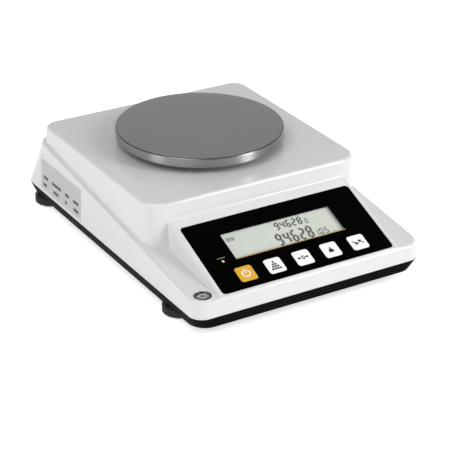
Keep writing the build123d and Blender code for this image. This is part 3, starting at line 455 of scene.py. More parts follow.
def link_object(name, mesh, *materials):
    """Puts a finished mesh in the scene under its name with its materials."""
    piece = bpy.data.objects.new(name, mesh)
    bpy.context.scene.collection.objects.link(piece)
    for material in materials:
        mesh.materials.append(material)
    return piece


def finish_piece(piece, body, slot, *nodes):
    """Fixes a piece to its body, in place of the CAD nodes that it stands for; its slot is not used."""
    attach(piece, body)
    if nodes:
        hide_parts(*nodes)


def merged_form(node):
    """A CAD node's triangles as one joined form."""
    form = bmesh.new()
    form.from_mesh(frame["nodes"][node].data)
    bmesh.ops.remove_doubles(form, verts=form.verts, dist=MERGE)
    bmesh.ops.dissolve_degenerate(form, edges=form.edges, dist=MERGE)
    return form


def form_mesh(name, form, turn_outwards=True):
    """The mesh of a form, which ends here, with its faces turned outwards where they may not be."""
    if turn_outwards:
        bmesh.ops.recalc_face_normals(form, faces=form.faces)
    mesh = bpy.data.meshes.new(name)
    form.to_mesh(mesh)
    form.free()
    return mesh


def smooth_copy(name, node, material):
    """A smooth-shaded copy of a CAD node, sharp only where the piece has a real edge."""
    mesh = form_mesh(name, merged_form(node), turn_outwards=False)
    mesh.shade_smooth()
    mesh.set_sharp_from_angle(angle=radians(28))
    return link_object(name, mesh, material)


def dressed_copy(name, node, material, slot):
    """A smooth copy that rides on the base, with its flat faces shaded flat."""
    piece = smooth_copy(name, node, material)
    weighted = piece.modifiers.new("flat_faces_stay_flat", "WEIGHTED_NORMAL")
    weighted.keep_sharp = True
    weighted.weight = 100
    finish_piece(piece, "base", slot, node)


def coat_node(node, material):
    """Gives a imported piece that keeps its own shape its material."""
    mesh = frame["nodes"][node].data
    if not mesh.materials:
        mesh.materials.append(material)
    for slot in frame["nodes"][node].material_slots:
        slot.material = material


def join_rings(form, rings):
    """Faces between each ring of corners and the next. A ring of one corner is a pole."""
    steps = max(len(ring) for ring in rings)
    for lower, upper in zip(rings, rings[1:]):
        for i in range(steps):
            j = (i + 1) % steps
            corners = [ring[k % len(ring)] for ring, k in ((lower, i), (lower, j), (upper, j), (upper, i))]
            corners = list(dict.fromkeys(corners))
            if len(corners) > 2:
                form.faces.new(corners)


def add_block(form, outlines, place):
    """A closed block between outlines of (across, up) points, each with its height in mm."""
    rings = [[form.verts.new(place(x, v, height)) for x, v in outline] for outline, height in outlines]
    form.faces.new(rings[-1])
    form.faces.new(list(reversed(rings[0])))
    join_rings(form, rings)


def add_print(name, outlines, low_mm, high_mm, material, body, slot, place=on_panel):
    """Thin raised print on a body, from outlines of (across, up) points in mm. It also draws the window's
    grey walls, which are painted shade, and the level's painted glints.
    """
    form = bmesh.new()
    for outline in outlines:
        add_block(form, ((outline, low_mm), (outline, high_mm)), place)
    finish_piece(link_object(name, form_mesh(name, form), material), body, slot)


def moved(outlines, across, up):
    """The same outlines at another place."""
    return [[(x + across, v + up) for x, v in outline] for outline in outlines]


def square_outline(left, bottom, right, top):
    """A rectangle with sharp corners, counter-clockwise."""
    return [(left, bottom), (right, bottom), (right, top), (left, top)]


def rounded_outline(width, height, radius, steps=8, centre=(0.0, 0.0)):
    """A rectangle with round corners, counter-clockwise."""
    points = []
    for corner, (sx, sy) in enumerate(((1, 1), (-1, 1), (-1, -1), (1, -1))):
        cx = centre[0] + sx * (width / 2 - radius)
        cy = centre[1] + sy * (height / 2 - radius)
        for i in range(steps + 1):
            angle = pi / 2 * (corner + i / steps)
            points.append((cx + radius * cos(angle), cy + radius * sin(angle)))
    return points


def disc_outline(x, v, radius, steps=20):
    """A disc, counter-clockwise."""
    return [(x + radius * cos(tau * i / steps), v + radius * sin(tau * i / steps)) for i in range(steps)]


def bar_outline(start, end, width):
    """A straight stroke from start to end."""
    first = Vector(start)
    last = Vector(end)
    direction = last - first
    side = Vector((-direction.y, direction.x)).normalized() * width / 2
    return [tuple(p) for p in (first - side, last - side, last + side, first + side)]


def arc_outlines(radius, width, start, end, steps=24, squash=1.0):
    """An arc stroke as short quads, from one angle to another in degrees."""
    pieces = []
    inner = radius - width / 2
    outer = radius + width / 2
    for i in range(steps):
        a, b = (radians(start + (end - start) * k / steps) for k in (i, i + 1))
        ends = ((inner, a), (outer, a), (outer, b), (inner, b))
        pieces.append([(r * cos(angle) * squash, r * sin(angle)) for r, angle in ends])
    return pieces


def arrow_outlines(tail, tip, width, head):
    """A stroke with a triangular head at its tip."""
    direction = (Vector(tip) - Vector(tail)).normalized()
    half_width = head * 0.6
    side = Vector((-direction.y, direction.x)) * half_width
    neck = Vector(tip) - direction * head
    head_outline = [tuple(p) for p in (neck - side, Vector(tip), neck + side)]
    return [bar_outline(tail, tuple(neck), width), head_outline]


def power_sign():
    """Ring broken at the top by a bar."""
    return arc_outlines(2.9, SIGN_MM, 125, 415, 40) + [bar_outline((0, 0.3), (0, 4.1), SIGN_MM)]


def counting_sign(pitch=2.05, radius=0.93, rows=4):
    """Pile of dots, one more in each lower row."""
    return [
        disc_outline((i - row / 2) * pitch, (rows / 2 - 0.5 - row) * pitch, radius, 14)
        for row in range(rows) for i in range(row + 1)
    ]


def zero_sign():
    """A nought between two arrows."""
    nought = arc_outlines(1.35, SIGN_MM, 0, 360, 28, squash=0.72)
    left = arrow_outlines((-4.3, 0), (-1.5, 0), 1.0, 2.0)
    right = arrow_outlines((4.3, 0), (1.5, 0), 1.0, 2.0)
    return nought + left + right


def unit_sign():
    """Two slanting arrows that point past each other."""
    down = arrow_outlines((-4.4, 1.7), (-0.2, -2.3), SIGN_MM, 2.8)
    up = arrow_outlines((4.4, -1.9), (0.3, 2.1), SIGN_MM, 2.8)
    return down + up


def calibration_sign():
    """A calibration weight: a body that widens downwards under a knob."""
    body = [(-2.3, -2.2), (2.3, -2.2), (1.5, 0.7), (-1.5, 0.7)]
    return [body, square_outline(-0.35, 0.6, 0.35, 1.3), disc_outline(0.0, 1.65, 0.75)]


def battery_sign():
    """A battery that lies on its side, with its pole to the right and three bars of charge."""
    case = [bar_outline((-2.75, y), (2.75, y), 0.5) for y in (1.5, -1.5)]
    case += [bar_outline((x, -1.7), (x, 1.7), 0.5) for x in (-2.55, 2.55)]
    pole = bar_outline((3.15, -0.7), (3.15, 0.7), 0.6)
    return case + [pole] + [bar_outline((x, -0.9), (x, 0.9), 0.8) for x in (-1.45, -0.05, 1.35)]


KEY_SIGNS = {
    "power": power_sign,
    "counting": counting_sign,
    "zero": zero_sign,
    "calibration": calibration_sign,
    "unit": unit_sign,
}

SEGMENTS_LIT = {
    "0": "abcdef", "1": "bc", "2": "abged", "3": "abgcd", "4": "fgbc", "5": "afgcd",
    "6": "afgedc", "7": "abc", "8": "abcdefg", "9": "abcdfg",
}

# Both ends of each segment: 0 for left or 1 for right, and half heights above the foot
SEGMENT_ENDS = {
    "a": ((0, 2), (1, 2)), "g": ((0, 1), (1, 1)), "d": ((0, 0), (1, 0)), "f": ((0, 2), (0, 1)),
    "b": ((1, 2), (1, 1)), "e": ((0, 1), (0, 0)), "c": ((1, 1), (1, 0)),
}


def row_outlines(signs, left, bottom, width, height, pitch, stroke, lean):
    """The lit segments of a row of seven-segment digits that lean to the right."""
    half = stroke / 2
    outlines = []
    for digit, sign in enumerate(signs):
        for name in SEGMENTS_LIT[sign]:
            start, end = (
                Vector((half + column * (width - stroke), half + level * (height / 2 - half)))
                for column, level in SEGMENT_ENDS[name]
            )
            along = (end - start).normalized()
            side = Vector((-along.y, along.x)) * half
            gap = along * stroke * 0.03
            first = start + gap
            last = end - gap
            inner = first + along * half
            outer = last - along * half
            points = (first, inner - side, outer - side, last, outer + side, inner + side)
            outlines.append([(left + digit * pitch + p.x + lean * p.y, bottom + p.y) for p in points])
    return outlines


def lathe_mesh(name, profile, centre, steps):
    """Turns a profile of (radius, height) points about an upright axis, closed at both poles."""
    form = bmesh.new()
    rings = []
    for radius, height in profile:
        turns = [tau * i / steps for i in range(steps if radius > 0 else 1)]
        rings.append([
            form.verts.new((centre.x + radius * cos(turn), centre.y + radius * sin(turn), height))
            for turn in turns
        ])
    join_rings(form, rings)
    mesh = form_mesh(name, form)
    mesh.shade_smooth()
    return mesh


def arc_profile(centre_radius, centre_height, radius, start, end, steps=8):
    """Points of an arc in a lathe's profile, angles in degrees from outwards to upwards."""
    turns = [radians(start + (end - start) * i / steps) for i in range(steps + 1)]
    return [(centre_radius + radius * cos(turn), centre_height + radius * sin(turn)) for turn in turns]


def new_tree(name, **sizes):
    """A Geometry Nodes tree with a mesh in and out and named inputs, and its two end nodes."""
    tree = bpy.data.node_groups.new(name, "GeometryNodeTree")
    tree.interface.new_socket("Geometry", in_out="INPUT", socket_type="NodeSocketGeometry")
    tree.interface.new_socket("Geometry", in_out="OUTPUT", socket_type="NodeSocketGeometry")
    for size, kind in sizes.items():
        tree.interface.new_socket(size.replace("_", " "), in_out="INPUT", socket_type=f"NodeSocket{kind}")
    return tree, add_node(tree, "NodeGroupInput").outputs, add_node(tree, "NodeGroupOutput")


def close_tree(tree, geometry, out, material):
    """Ends a tree: instances become real geometry, in its material."""
    plain = add_node(tree, "GeometryNodeRealizeInstances", inputs={"Geometry": geometry})
    painted = add_node(tree, "GeometryNodeSetMaterial", inputs={"Geometry": plain, "Material": material})
    tree.links.new(painted.outputs["Geometry"], out.inputs["Geometry"])
    return tree


def grow_mesh(piece, tree, values):
    """Runs a tree on a piece and keeps the result as its plain mesh."""
    modifier = piece.modifiers.new(tree.name, "NODES")
    modifier.node_group = tree
    for socket in tree.interface.items_tree:
        if socket.in_out == "INPUT" and socket.name in values:
            modifier[socket.identifier] = values[socket.name]
    piece.update_tag()
    evaluated = piece.evaluated_get(bpy.context.evaluated_depsgraph_get())
    mesh = bpy.data.meshes.new_from_object(evaluated)
    mesh.name = piece.name
    piece.modifiers.remove(modifier)
    piece.data = mesh


def rib_ring_tree(material):
    """Upright ribs spaced evenly round a wheel's edge, joined to the wheel that comes in."""
    tree, given, out = new_tree(
        "rib_ring", Ribs="Int", Wheel_Radius="Float", Rib_Radius="Float", Rib_Height="Float",
        Centre="Vector",
    )
    ring = add_node(
        tree, "GeometryNodeMeshCircle", inputs={"Vertices": given["Ribs"], "Radius": given["Wheel Radius"]}
    )
    placed = add_node(
        tree, "GeometryNodeTransform", inputs={"Geometry": ring, "Translation": given["Centre"]}
    )
    rib = add_node(
        tree, "GeometryNodeMeshCylinder", {"fill_type": "TRIANGLE_FAN"},
        {"Vertices": 10, "Radius": given["Rib Radius"], "Depth": given["Rib Height"]},
    )
    ribs = add_node(tree, "GeometryNodeInstanceOnPoints", inputs={"Points": placed, "Instance": rib})
    both = add_node(tree, "GeometryNodeJoinGeometry", inputs={"Geometry": given["Geometry"]})
    tree.links.new(ribs.outputs["Instances"], both.inputs["Geometry"])
    return close_tree(tree, both, out, material)


def screw_head_tree(material):
    """A pan head with a cross recess on each point that comes in."""
    tree, given, out = new_tree(
        "screw_heads", Head_Radius="Float", Head_Height="Float", Slot_Length="Float", Slot_Width="Float",
        Slot_Depth="Float",
    )
    head = add_node(
        tree, "GeometryNodeMeshCylinder", {"fill_type": "NGON"},
        {"Vertices": 48, "Radius": given["Head Radius"], "Depth": given["Head Height"]},
    )
    half = add_node(tree, "ShaderNodeMath", {"operation": "MULTIPLY"}, {0: given["Head Height"], 1: -0.5})
    face = add_node(tree, "ShaderNodeCombineXYZ", inputs={"Z": half})
    recessed = add_node(tree, "GeometryNodeMeshBoolean", {"operation": "DIFFERENCE"}, {"Mesh 1": head})
    for x, y in (("Slot Length", "Slot Width"), ("Slot Width", "Slot Length")):
        size = add_node(
            tree, "ShaderNodeCombineXYZ", inputs={"X": given[x], "Y": given[y], "Z": given["Slot Depth"]}
        )
        block = add_node(tree, "GeometryNodeMeshCube", inputs={"Size": size})
        slot = add_node(tree, "GeometryNodeTransform", inputs={"Geometry": block, "Translation": face})
        tree.links.new(slot.outputs["Geometry"], recessed.inputs["Mesh 2"])
    heads = add_node(
        tree, "GeometryNodeInstanceOnPoints", inputs={"Points": given["Geometry"], "Instance": recessed}
    )
    return close_tree(tree, heads, out, material)


def island_boxes(node):
    """Lowest and highest corner of each separate solid in a CAD node."""
    form = merged_form(node)
    left = set(form.verts)
    boxes = []
    while left:
        reach = [left.pop()]
        members = list(reach)
        while reach:
            vert = reach.pop()
            others = [edge.other_vert(vert) for edge in vert.link_edges]
            found = [other for other in others if other in left]
            left.difference_update(found)
            reach += found
            members += found
        boxes.append(box_of([vert.co for vert in members]))
    form.free()
    return sorted(boxes, key=lambda pair: (round(pair[0].x, 4), round(pair[0].y, 4)))


def size_of(name, description, default, unit="LENGTH"):
    """A number that a user may change, in metres unless another unit is given."""
    return bpy.props.FloatProperty(name=name, description=description, default=default, unit=unit)


class StudioSizes(bpy.types.PropertyGroup):
    """Sizes and colours of the floor, lamps and surroundings."""

    floor_size: size_of("Floor Size", "Side of the square floor", 60.0)
    floor_colour: bpy.props.FloatVectorProperty(
        name="Floor Colour", description="Colour of the floor", subtype="COLOR", size=3,
        default=(1.0, 1.0, 1.0), min=0.0, max=1.0
    )
    floor_glow: bpy.props.FloatProperty(
        name="Floor Glow", description="What the floor adds to itself in the picture and in mirrors",
        default=0.55, min=0.0, max=1.0
    )
    horizon: size_of("Horizon", "Brightness of the surroundings at eye level", 0.38, "NONE")
    overhead: size_of("Overhead", "Brightness of the surroundings straight up", 0.36, "NONE")
    bright_wall: size_of("Bright Wall", "How much brighter the wall behind the object is", 1.3, "NONE")
    dark_wall: size_of("Dark Wall", "Share of the brightness that the camera's side keeps", 0.2, "NONE")
    left_power: size_of("Left Power", "Power of the softbox on the left", 5.6, "POWER")
    upper_power: size_of("Upper Power", "Power of the softbox above the left front", 9.5, "POWER")
    right_power: size_of("Right Power", "Power of the softbox at the front right", 17.0, "POWER")
    lamp_distance: size_of("Lamp Distance", "Way from the object to a softbox", 1.7)


class PanSizes(bpy.types.PropertyGroup):
    """Sizes of the weighing pan."""

    edge_radius: size_of("Edge Radius", "Rounding between top and rim", 1.2 * MM)
    sheet: size_of("Sheet", "Thickness of the steel", 1.0 * MM)
    curl_radius: size_of("Curl Radius", "Rounding where the rim turns in at its foot", 2.2 * MM)


class FootSizes(bpy.types.PropertyGroup):
    """Sizes of the levelling feet's wheels."""

    rib_count: bpy.props.IntProperty(
        name="Ribs", description="Ribs round a wheel", default=36, min=8
    )
    rib_radius: size_of("Rib Radius", "Rounding of a rib", 0.75 * MM)
    shoulder: size_of("Shoulder", "Bevel at a wheel's top and bottom", 0.8 * MM)


class PanelSizes(bpy.types.PropertyGroup):
    """Sizes and figures of the print and the keys on the panel."""

    print_height: size_of("Print Height", "How far print stands out", 0.03 * MM)
    key_crown: size_of("Key Crown", "Rounding of a key's edge", 0.25 * MM)
    digit_lean: size_of("Digit Lean", "Slant of the display's digits", 0.09, "NONE")
    upper_digits: bpy.props.StringProperty(
        name="Upper Digits", description="Digits of the display's upper row", default="94628"
    )
    lower_digits: bpy.props.StringProperty(
        name="Lower Digits", description="Digits of the display's lower row", default="94628"
    )


class BALANCE_OT_housing(bpy.types.Operator):
    """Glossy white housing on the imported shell"""

    bl_idname = "balance.housing"
    bl_label = "Housing"

    def execute(self, context):
        dressed_copy("housing_shell", "upper_housing", glossy_abs(), "housing_white")
        return {"FINISHED"}


class BALANCE_OT_tray(bpy.types.Operator):
    """Textured black tray under the housing"""

    bl_idname = "balance.tray"
    bl_label = "Tray"

    def execute(self, context):
        dressed_copy("tray_shell", "base_tray", textured_abs(), "tray_black")
        return {"FINISHED"}


class BALANCE_OT_pan(bpy.types.Operator):
    """Spun steel pan with a satin top and a brushed rim that curls in at its foot"""

    bl_idname = "balance.pan"
    bl_label = "Pan"

    def execute(self, context):
        sizes = context.scene.balance_pan
        low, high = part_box("weighing_pan")
        centre = (low + high) / 2
        radius = (high.x - low.x) / 2
        edge = sizes.edge_radius
        sheet = sizes.sheet
        curl = sizes.curl_radius
        curl_end = -60
        curl_height = low.z - curl * sin(radians(curl_end))
        fillet = sheet / 2
        profile = [(0.0, high.z), (radius / 2, high.z)]
        profile += arc_profile(radius - edge, high.z - edge, edge, 90, 0)
        profile += arc_profile(radius - curl, curl_height, curl, 0, curl_end)
        profile += arc_profile(radius - curl, curl_height, curl - sheet, curl_end, 0)
        profile += arc_profile(radius - sheet - fillet, high.z - sheet - fillet, fillet, 0, 90, 4)
        profile += [(0.0, high.z - sheet)]
        mesh = lathe_mesh("steel_pan", profile, centre, 256)
        piece = link_object("steel_pan", mesh, satin_steel(centre), brushed_steel(), ground_steel_painted_dark())
        # The rounding between top and rim gets the darker steel, a painted dark line, chosen by which way
        # its faces point
        top, rim, rounding = range(3)
        flat_from = 0.97
        painted_dark_edge_from = 0.3
        for face in mesh.polygons:
            upward = face.normal.z
            face.material_index = top if upward > flat_from else rounding if upward > painted_dark_edge_from else rim
        mesh.set_sharp_from_angle(angle=radians(50))
        finish_piece(piece, "pan", "pan_steel", "weighing_pan")
        return {"FINISHED"}


class BALANCE_OT_feet(bpy.types.Operator):
    """Ribbed wheels of the four levelling feet"""

    bl_idname = "balance.feet"
    bl_label = "Feet"

    def execute(self, context):
        sizes = context.scene.balance_feet
        nylon = moulded_nylon("wheel_nylon", "#020203", "#060607")
        tree = rib_ring_tree(nylon)
        for name in FOOT_NAMES:
            low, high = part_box(f"foot_wheel_{name}")
            centre = (low + high) / 2
            root = (high.x - low.x) / 2 - sizes.rib_radius
            pin_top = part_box(f"foot_pad_{name}")[1].z
            stud_low, stud_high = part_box(f"foot_stud_{name}")
            stud_radius = (stud_high.x - stud_low.x) / 2
            pin_radius = stud_radius * PIN_HOLE
            shoulder = sizes.shoulder
            profile = [
                (0.0, pin_top), (pin_radius, pin_top), (pin_radius, low.z),
                (root - shoulder, low.z), (root, low.z + shoulder), (root, high.z - shoulder),
                (root - shoulder, high.z), (stud_radius, high.z), (stud_radius, stud_low.z),
                (0.0, stud_low.z),
            ]
            wheel = f"ribbed_wheel_{name}"
            piece = link_object(wheel, lathe_mesh(wheel, profile, centre, 72), nylon)
            grow_mesh(piece, tree, {
                "Ribs": sizes.rib_count, "Wheel Radius": root, "Rib Radius": sizes.rib_radius,
                "Rib Height": high.z - low.z - 2 * shoulder, "Centre": centre,
            })
            piece.data.set_sharp_from_angle(angle=radians(40))
            finish_piece(piece, f"foot_wheel_{name}", "wheel_black", f"foot_wheel_{name}")
        return {"FINISHED"}


class BALANCE_OT_screws(bpy.types.Operator):
    """Cross-recessed screws that hold the housing, seen from below"""

    bl_idname = "balance.screws"
    bl_label = "Screws"

    def execute(self, context):
        steel = plated_steel("zinc_plated_steel", "#BFC0C0")
        boxes = island_boxes("housing_screws")
        radius = (boxes[0][1].x - boxes[0][0].x) / 2
        name = "housing_screw_heads"
        mesh = bpy.data.meshes.new(name)
        points = [(*((low + high) / 2).xy, low.z + SCREW_HEAD / 2) for low, high in boxes]
        mesh.from_pydata(points, [], [])
        piece = link_object(name, mesh, steel)
        grow_mesh(piece, screw_head_tree(steel), {
            "Head Radius": radius, "Head Height": SCREW_HEAD, "Slot Length": radius * SLOT_LENGTH,
            "Slot Width": radius * SLOT_WIDTH, "Slot Depth": SCREW_HEAD * SLOT_DEPTH,
        })
        shafts = bmesh.new()
        for low, high in boxes:
            centre = Vector((*((low + high) / 2).xy, (low.z + SCREW_HEAD + high.z) / 2))
            bmesh.ops.create_cone(
                shafts, cap_ends=True, segments=24, radius1=radius * SHAFT_RADIUS,
                radius2=radius * SHAFT_RADIUS, depth=high.z - low.z - SCREW_HEAD,
                matrix=Matrix.Translation(centre)
            )
        shafts.from_mesh(piece.data)
        shafts.to_mesh(piece.data)
        shafts.free()
        piece.data.set_sharp_from_angle(angle=radians(35))
        finish_piece(piece, "base", "screw_steel", "housing_screws")
        return {"FINISHED"}


class BALANCE_OT_panel(bpy.types.Operator):
    """Black overlay with its print and the five keys with their signs"""

    bl_idname = "balance.panel"
    bl_label = "Panel"

    def execute(self, context):
        sizes = context.scene.balance_panel
        ink_mm = sizes.print_height / MM
        dressed_copy("overlay_film", "control_overlay", coated_film(), "overlay_black")
        self.add_window_frame(ink_mm)

        lamp_x, lamp_v, _ = panel_place(middle_of("status_lamp"))
        pitch, length, width = 1.3, 0.8, 0.55
        bars = [bar_outline((i * pitch, 0), (i * pitch + length, 0), width) for i in range(5)]
        bars = moved(bars, lamp_x - 3.2, lamp_v + 3.1)
        add_print("lamp_marks", bars, 0.0, ink_mm, ink("grey_ink", "#B8B8B5"), "base", "overlay_black")

        orange_film = key_film("orange_film", "#DFAD33", "#DEAA2F", "#E1B037")
        white_film = key_film("white_film", "#FAFAF9", "#F8F8F7", "#FCFCFC")
        orange_key = orange_film, ink("white_ink", "#F2F2F0"), "key_orange"
        white_key = white_film, ink("black_ink", "#060606"), "key_white"
        for name in KEY_NAMES:
            film, sign_ink, slot = orange_key if name == "power" else white_key
            body = f"{name}_button"
            low, high = panel_box(f"{name}_key")
            cap = self.key_cap(f"{name}_key_cap", low, high, sizes.key_crown / MM, film)
            finish_piece(cap, body, slot, f"{name}_key")
            x, v, _ = panel_place(middle_of(f"{name}_key"))
            outlines = moved(KEY_SIGNS[name](), x, v)
            sunk = high.z - SINK_MM
            add_print(f"{name}_sign", outlines, sunk, high.z + ink_mm, sign_ink, body, slot)
        return {"FINISHED"}

    def add_window_frame(self, ink_mm):
        """Orange line under the window, and grey walls between its pane and the display: the frame's inner
        walls, coloured grey as painted shade along the display's edges.
        """
        low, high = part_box("display_window")
        left, bottom, _ = panel_place(low)
        right, top, _ = panel_place(high)
        line_width = 0.36
        line = square_outline(left, bottom - line_width, right, bottom)
        orange = ink("orange_ink", "#DDB45A")
        add_print("window_edge_line", [line], 0.0, ink_mm, orange, "base", "overlay_black")
        # Thin grey walls in the pane's edges: the frame's walls, their grey standing in as painted shade
        # along the display's edges
        wall = 0.12
        walls = [
            square_outline(left, bottom, right, bottom + wall),
            square_outline(left, top - wall, right, top),
            square_outline(left, bottom, left + wall, top),
            square_outline(right - wall, bottom, right, top),
        ]
        grey = moulded_nylon("painted_shade_lining", "#5C5F5A", "#666964")
        display_top = panel_box("lcd_panel")[1].z
        add_print("window_walls_painted_shade", walls, display_top, -OVERLAY_MM, grey, "base", "holder_plastic")

    def key_cap(self, name, low, high, crown_mm, film):
        """A key with rounded corners and a softly rounded edge."""
        middle = (low + high) / 2
        levels = [(low.z, 0.0), (high.z - crown_mm, 0.0)]
        levels += [
            (high.z - crown_mm * (1 - sin(angle)), crown_mm * (1 - cos(angle)))
            for angle in (pi / 8, pi / 4, 3 * pi / 8, pi / 2)
        ]
        outlines = [
            (rounded_outline(
                high.x - low.x - 2 * inset, high.y - low.y - 2 * inset, KEY_CORNER_MM - inset,
                centre=middle.xy
            ), height)
            for height, inset in levels
        ]
        form = bmesh.new()
        add_block(form, outlines, on_panel)
        mesh = form_mesh(name, form)
        mesh.shade_smooth()
        mesh.set_sharp_from_angle(angle=radians(50))
        return link_object(name, mesh, film)


class BALANCE_OT_display(bpy.types.Operator):
    """Liquid crystal display with its digits, behind a clear window"""

    bl_idname = "balance.display"
    bl_label = "Display"

    def execute(self, context):
        sizes = context.scene.balance_panel
        dressed_copy("display_glass_plate", "lcd_panel", display_glass(), "lcd_glass")
        dressed_copy("window_pane", "display_window", clear_window(), "window_clear")
        # Each row's signs, left and lower edge, a sign's width and height, pitch and stroke, in mm
        digit_rows = (
            (sizes.upper_digits, -2.6, 10.4, 4.0, 7.5, 4.75, 1.4),
            (sizes.lower_digits, -8.2, -3.9, 5.2, 11.7, 6.4, 1.85),
        )
        unit_rows = (("0", 22.3, 10.2, 2.7, 4.4, 3.0, 0.75), ("105", 23.0, -3.3, 3.3, 5.8, 4.3, 0.9))
        digits, units = (
            [outline for row in rows for outline in row_outlines(*row, sizes.digit_lean)]
            for rows in (digit_rows, unit_rows)
        )
        battery = moved(battery_sign(), -39.65, 13.7)
        pale = pale_segment()
        top = panel_box("lcd_panel")[1].z
        for name, outlines, material in (
            ("display_digits", digits, display_segment()), ("display_units", units, pale),
            ("display_battery", battery, pale),
        ):
            add_print(name, outlines, top, top + SEGMENT_MM, material, "base", "lcd_glass")
        return {"FINISHED"}


class BALANCE_OT_level(bpy.types.Operator):
    """Bubble level: blackened cup, spirit and glass with its printed ring, and pale arcs on the glass as
    painted glints
    """

    bl_idname = "balance.level"
    bl_label = "Level"

    def execute(self, context):
        dressed_copy("level_housing", "level_cup", blackened_metal(), "level_metal")
        dressed_copy("level_spirit_fill", "level_fluid", level_spirit(), "level_fluid")
        dressed_copy("level_lens_disc", "level_glass", level_lens(), "level_glass")
        low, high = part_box("level_glass")
        face = Vector((*((low + high) / 2).xy, high.z))
        target = arc_outlines(2.5, 0.8, 0, 360, 40)
        # The target is the glass's printed ring; the two pale arcs near its rim are painted glints,
        # highlights drawn in ink
        painted_glints = arc_outlines(4.15, 0.55, 145, 235, 16) + arc_outlines(4.15, 0.55, -35, 55, 16)

        def on_glass(x_mm, y_mm, out_mm):
            """A point over the level's glass."""
            return face + Vector((x_mm, y_mm, out_mm)) * MM

        pale = ink("pale_ink_and_painted_glints", "#C9CAC6")
        add_print("level_ring_and_painted_glints", target + painted_glints, 0.0, RING_MM, pale, "base", "level_glass", on_glass)
        return {"FINISHED"}


class BALANCE_OT_label(bpy.types.Operator):
    """Silver plate on the left side, with plain printed bars"""

    bl_idname = "balance.label"
    bl_label = "Label"

    def execute(self, context):
        dressed_copy("side_label", "side_plate", silver_label(), "plate_silver")
        mesh = frame["nodes"]["side_plate"].data
        face = max(mesh.polygons, key=lambda polygon: -polygon.normal.x * polygon.area)
        out = face.normal.copy()
        along = Vector((0, -1, 0))
        up = out.cross(along)
        reach = [along.dot(v.co) for v in mesh.vertices]
        foot = min(up.dot(v.co) for v in mesh.vertices)
        corner = out * out.dot(face.center) + up * foot + along * min(reach)
        length = (max(reach) - min(reach)) / MM

        def on_label(along_mm, up_mm, out_mm):
            """A point over the label's face."""
            return corner + (along * along_mm + up * up_mm + out * out_mm) * MM

        # Each row's height over the label's foot, and how long its bars are
        rows = ((11.0, (8, 16, 7, 9)), (4.6, (6, 9, 3, 8)))
        margin = 4.0
        bar_height, bar_corner = 2.5, 0.4
        bars = []
        for height, run in rows:
            gap = (length - 2 * margin - sum(run)) / (len(run) - 1)
            x = margin
            for size in run:
                bars.append(rounded_outline(size, bar_height, bar_corner, 2, (x + size / 2, height)))
                x += size + gap
        grey = ink("label_ink", "#3A3B3D")
        add_print("label_bars", bars, 0.0, BARS_MM, grey, "base", "plate_silver", on_label)
        return {"FINISHED"}


class BALANCE_OT_load_cell(bpy.types.Operator):
    """Load cell's beam, which on the real balance bends between its fixed end and the carrier's, as a fixed
    copy, and its spacer
    """

    bl_idname = "balance.load_cell"
    bl_label = "Load Cell"

    def execute(self, context):
        aluminium = milled_aluminium()
        coat_node("load_cell_spacer", aluminium)
        beam = smooth_copy("load_cell_beam", "load_cell", aluminium)
        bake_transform(beam)
        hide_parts("load_cell")
        return {"FINISHED"}


class BALANCE_OT_finishes(bpy.types.Operator):
    """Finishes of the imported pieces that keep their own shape"""

    bl_idname = "balance.finishes"
    bl_label = "Finishes"

    def execute(self, context):
        finishes = {
            plated_steel("bright_zinc", "#C2C2BF"): [
                "load_cell_bolts", "overload_stops", "carrier_bolts", "support_screw",
                "display_board_screws", "main_board_screws",
            ] + [f"foot_stud_{name}" for name in FOOT_NAMES],
            turned_brass(): ["foot_inserts"],
            cast_alloy(): ["carrier_bracket", "hub_post", "pan_support"],
            moulded_rubber(): ["pan_buffers"] + [f"foot_pad_{name}" for name in FOOT_NAMES],
            moulded_nylon("black_nylon", "#141415", "#1D1D1F"): [
                "lcd_holder", "switch_bodies", "serial_socket_insulator", "power_jack",
            ],
            moulded_nylon("white_nylon", "#D8D8D2", "#E2E2DC"): [
                f"{name}_key_plunger" for name in KEY_NAMES
            ],
            circuit_board(): ["display_board", "main_board"],
            lamp_lens(): ["status_lamp"],
            ribbon_sheath(): ["ribbon_cable"],
            cable_sheath(): ["load_cell_cable"],
            painted_sheet(): ["port_plate"],
            plated_steel("tinned_steel", "#D2D3D4"): [
                "serial_socket_shell", "serial_jackscrews", "power_jack_pin",
            ],
        }
        for material, nodes in finishes.items():
            for node in nodes:
                coat_node(node, material)
        return {"FINISHED"}


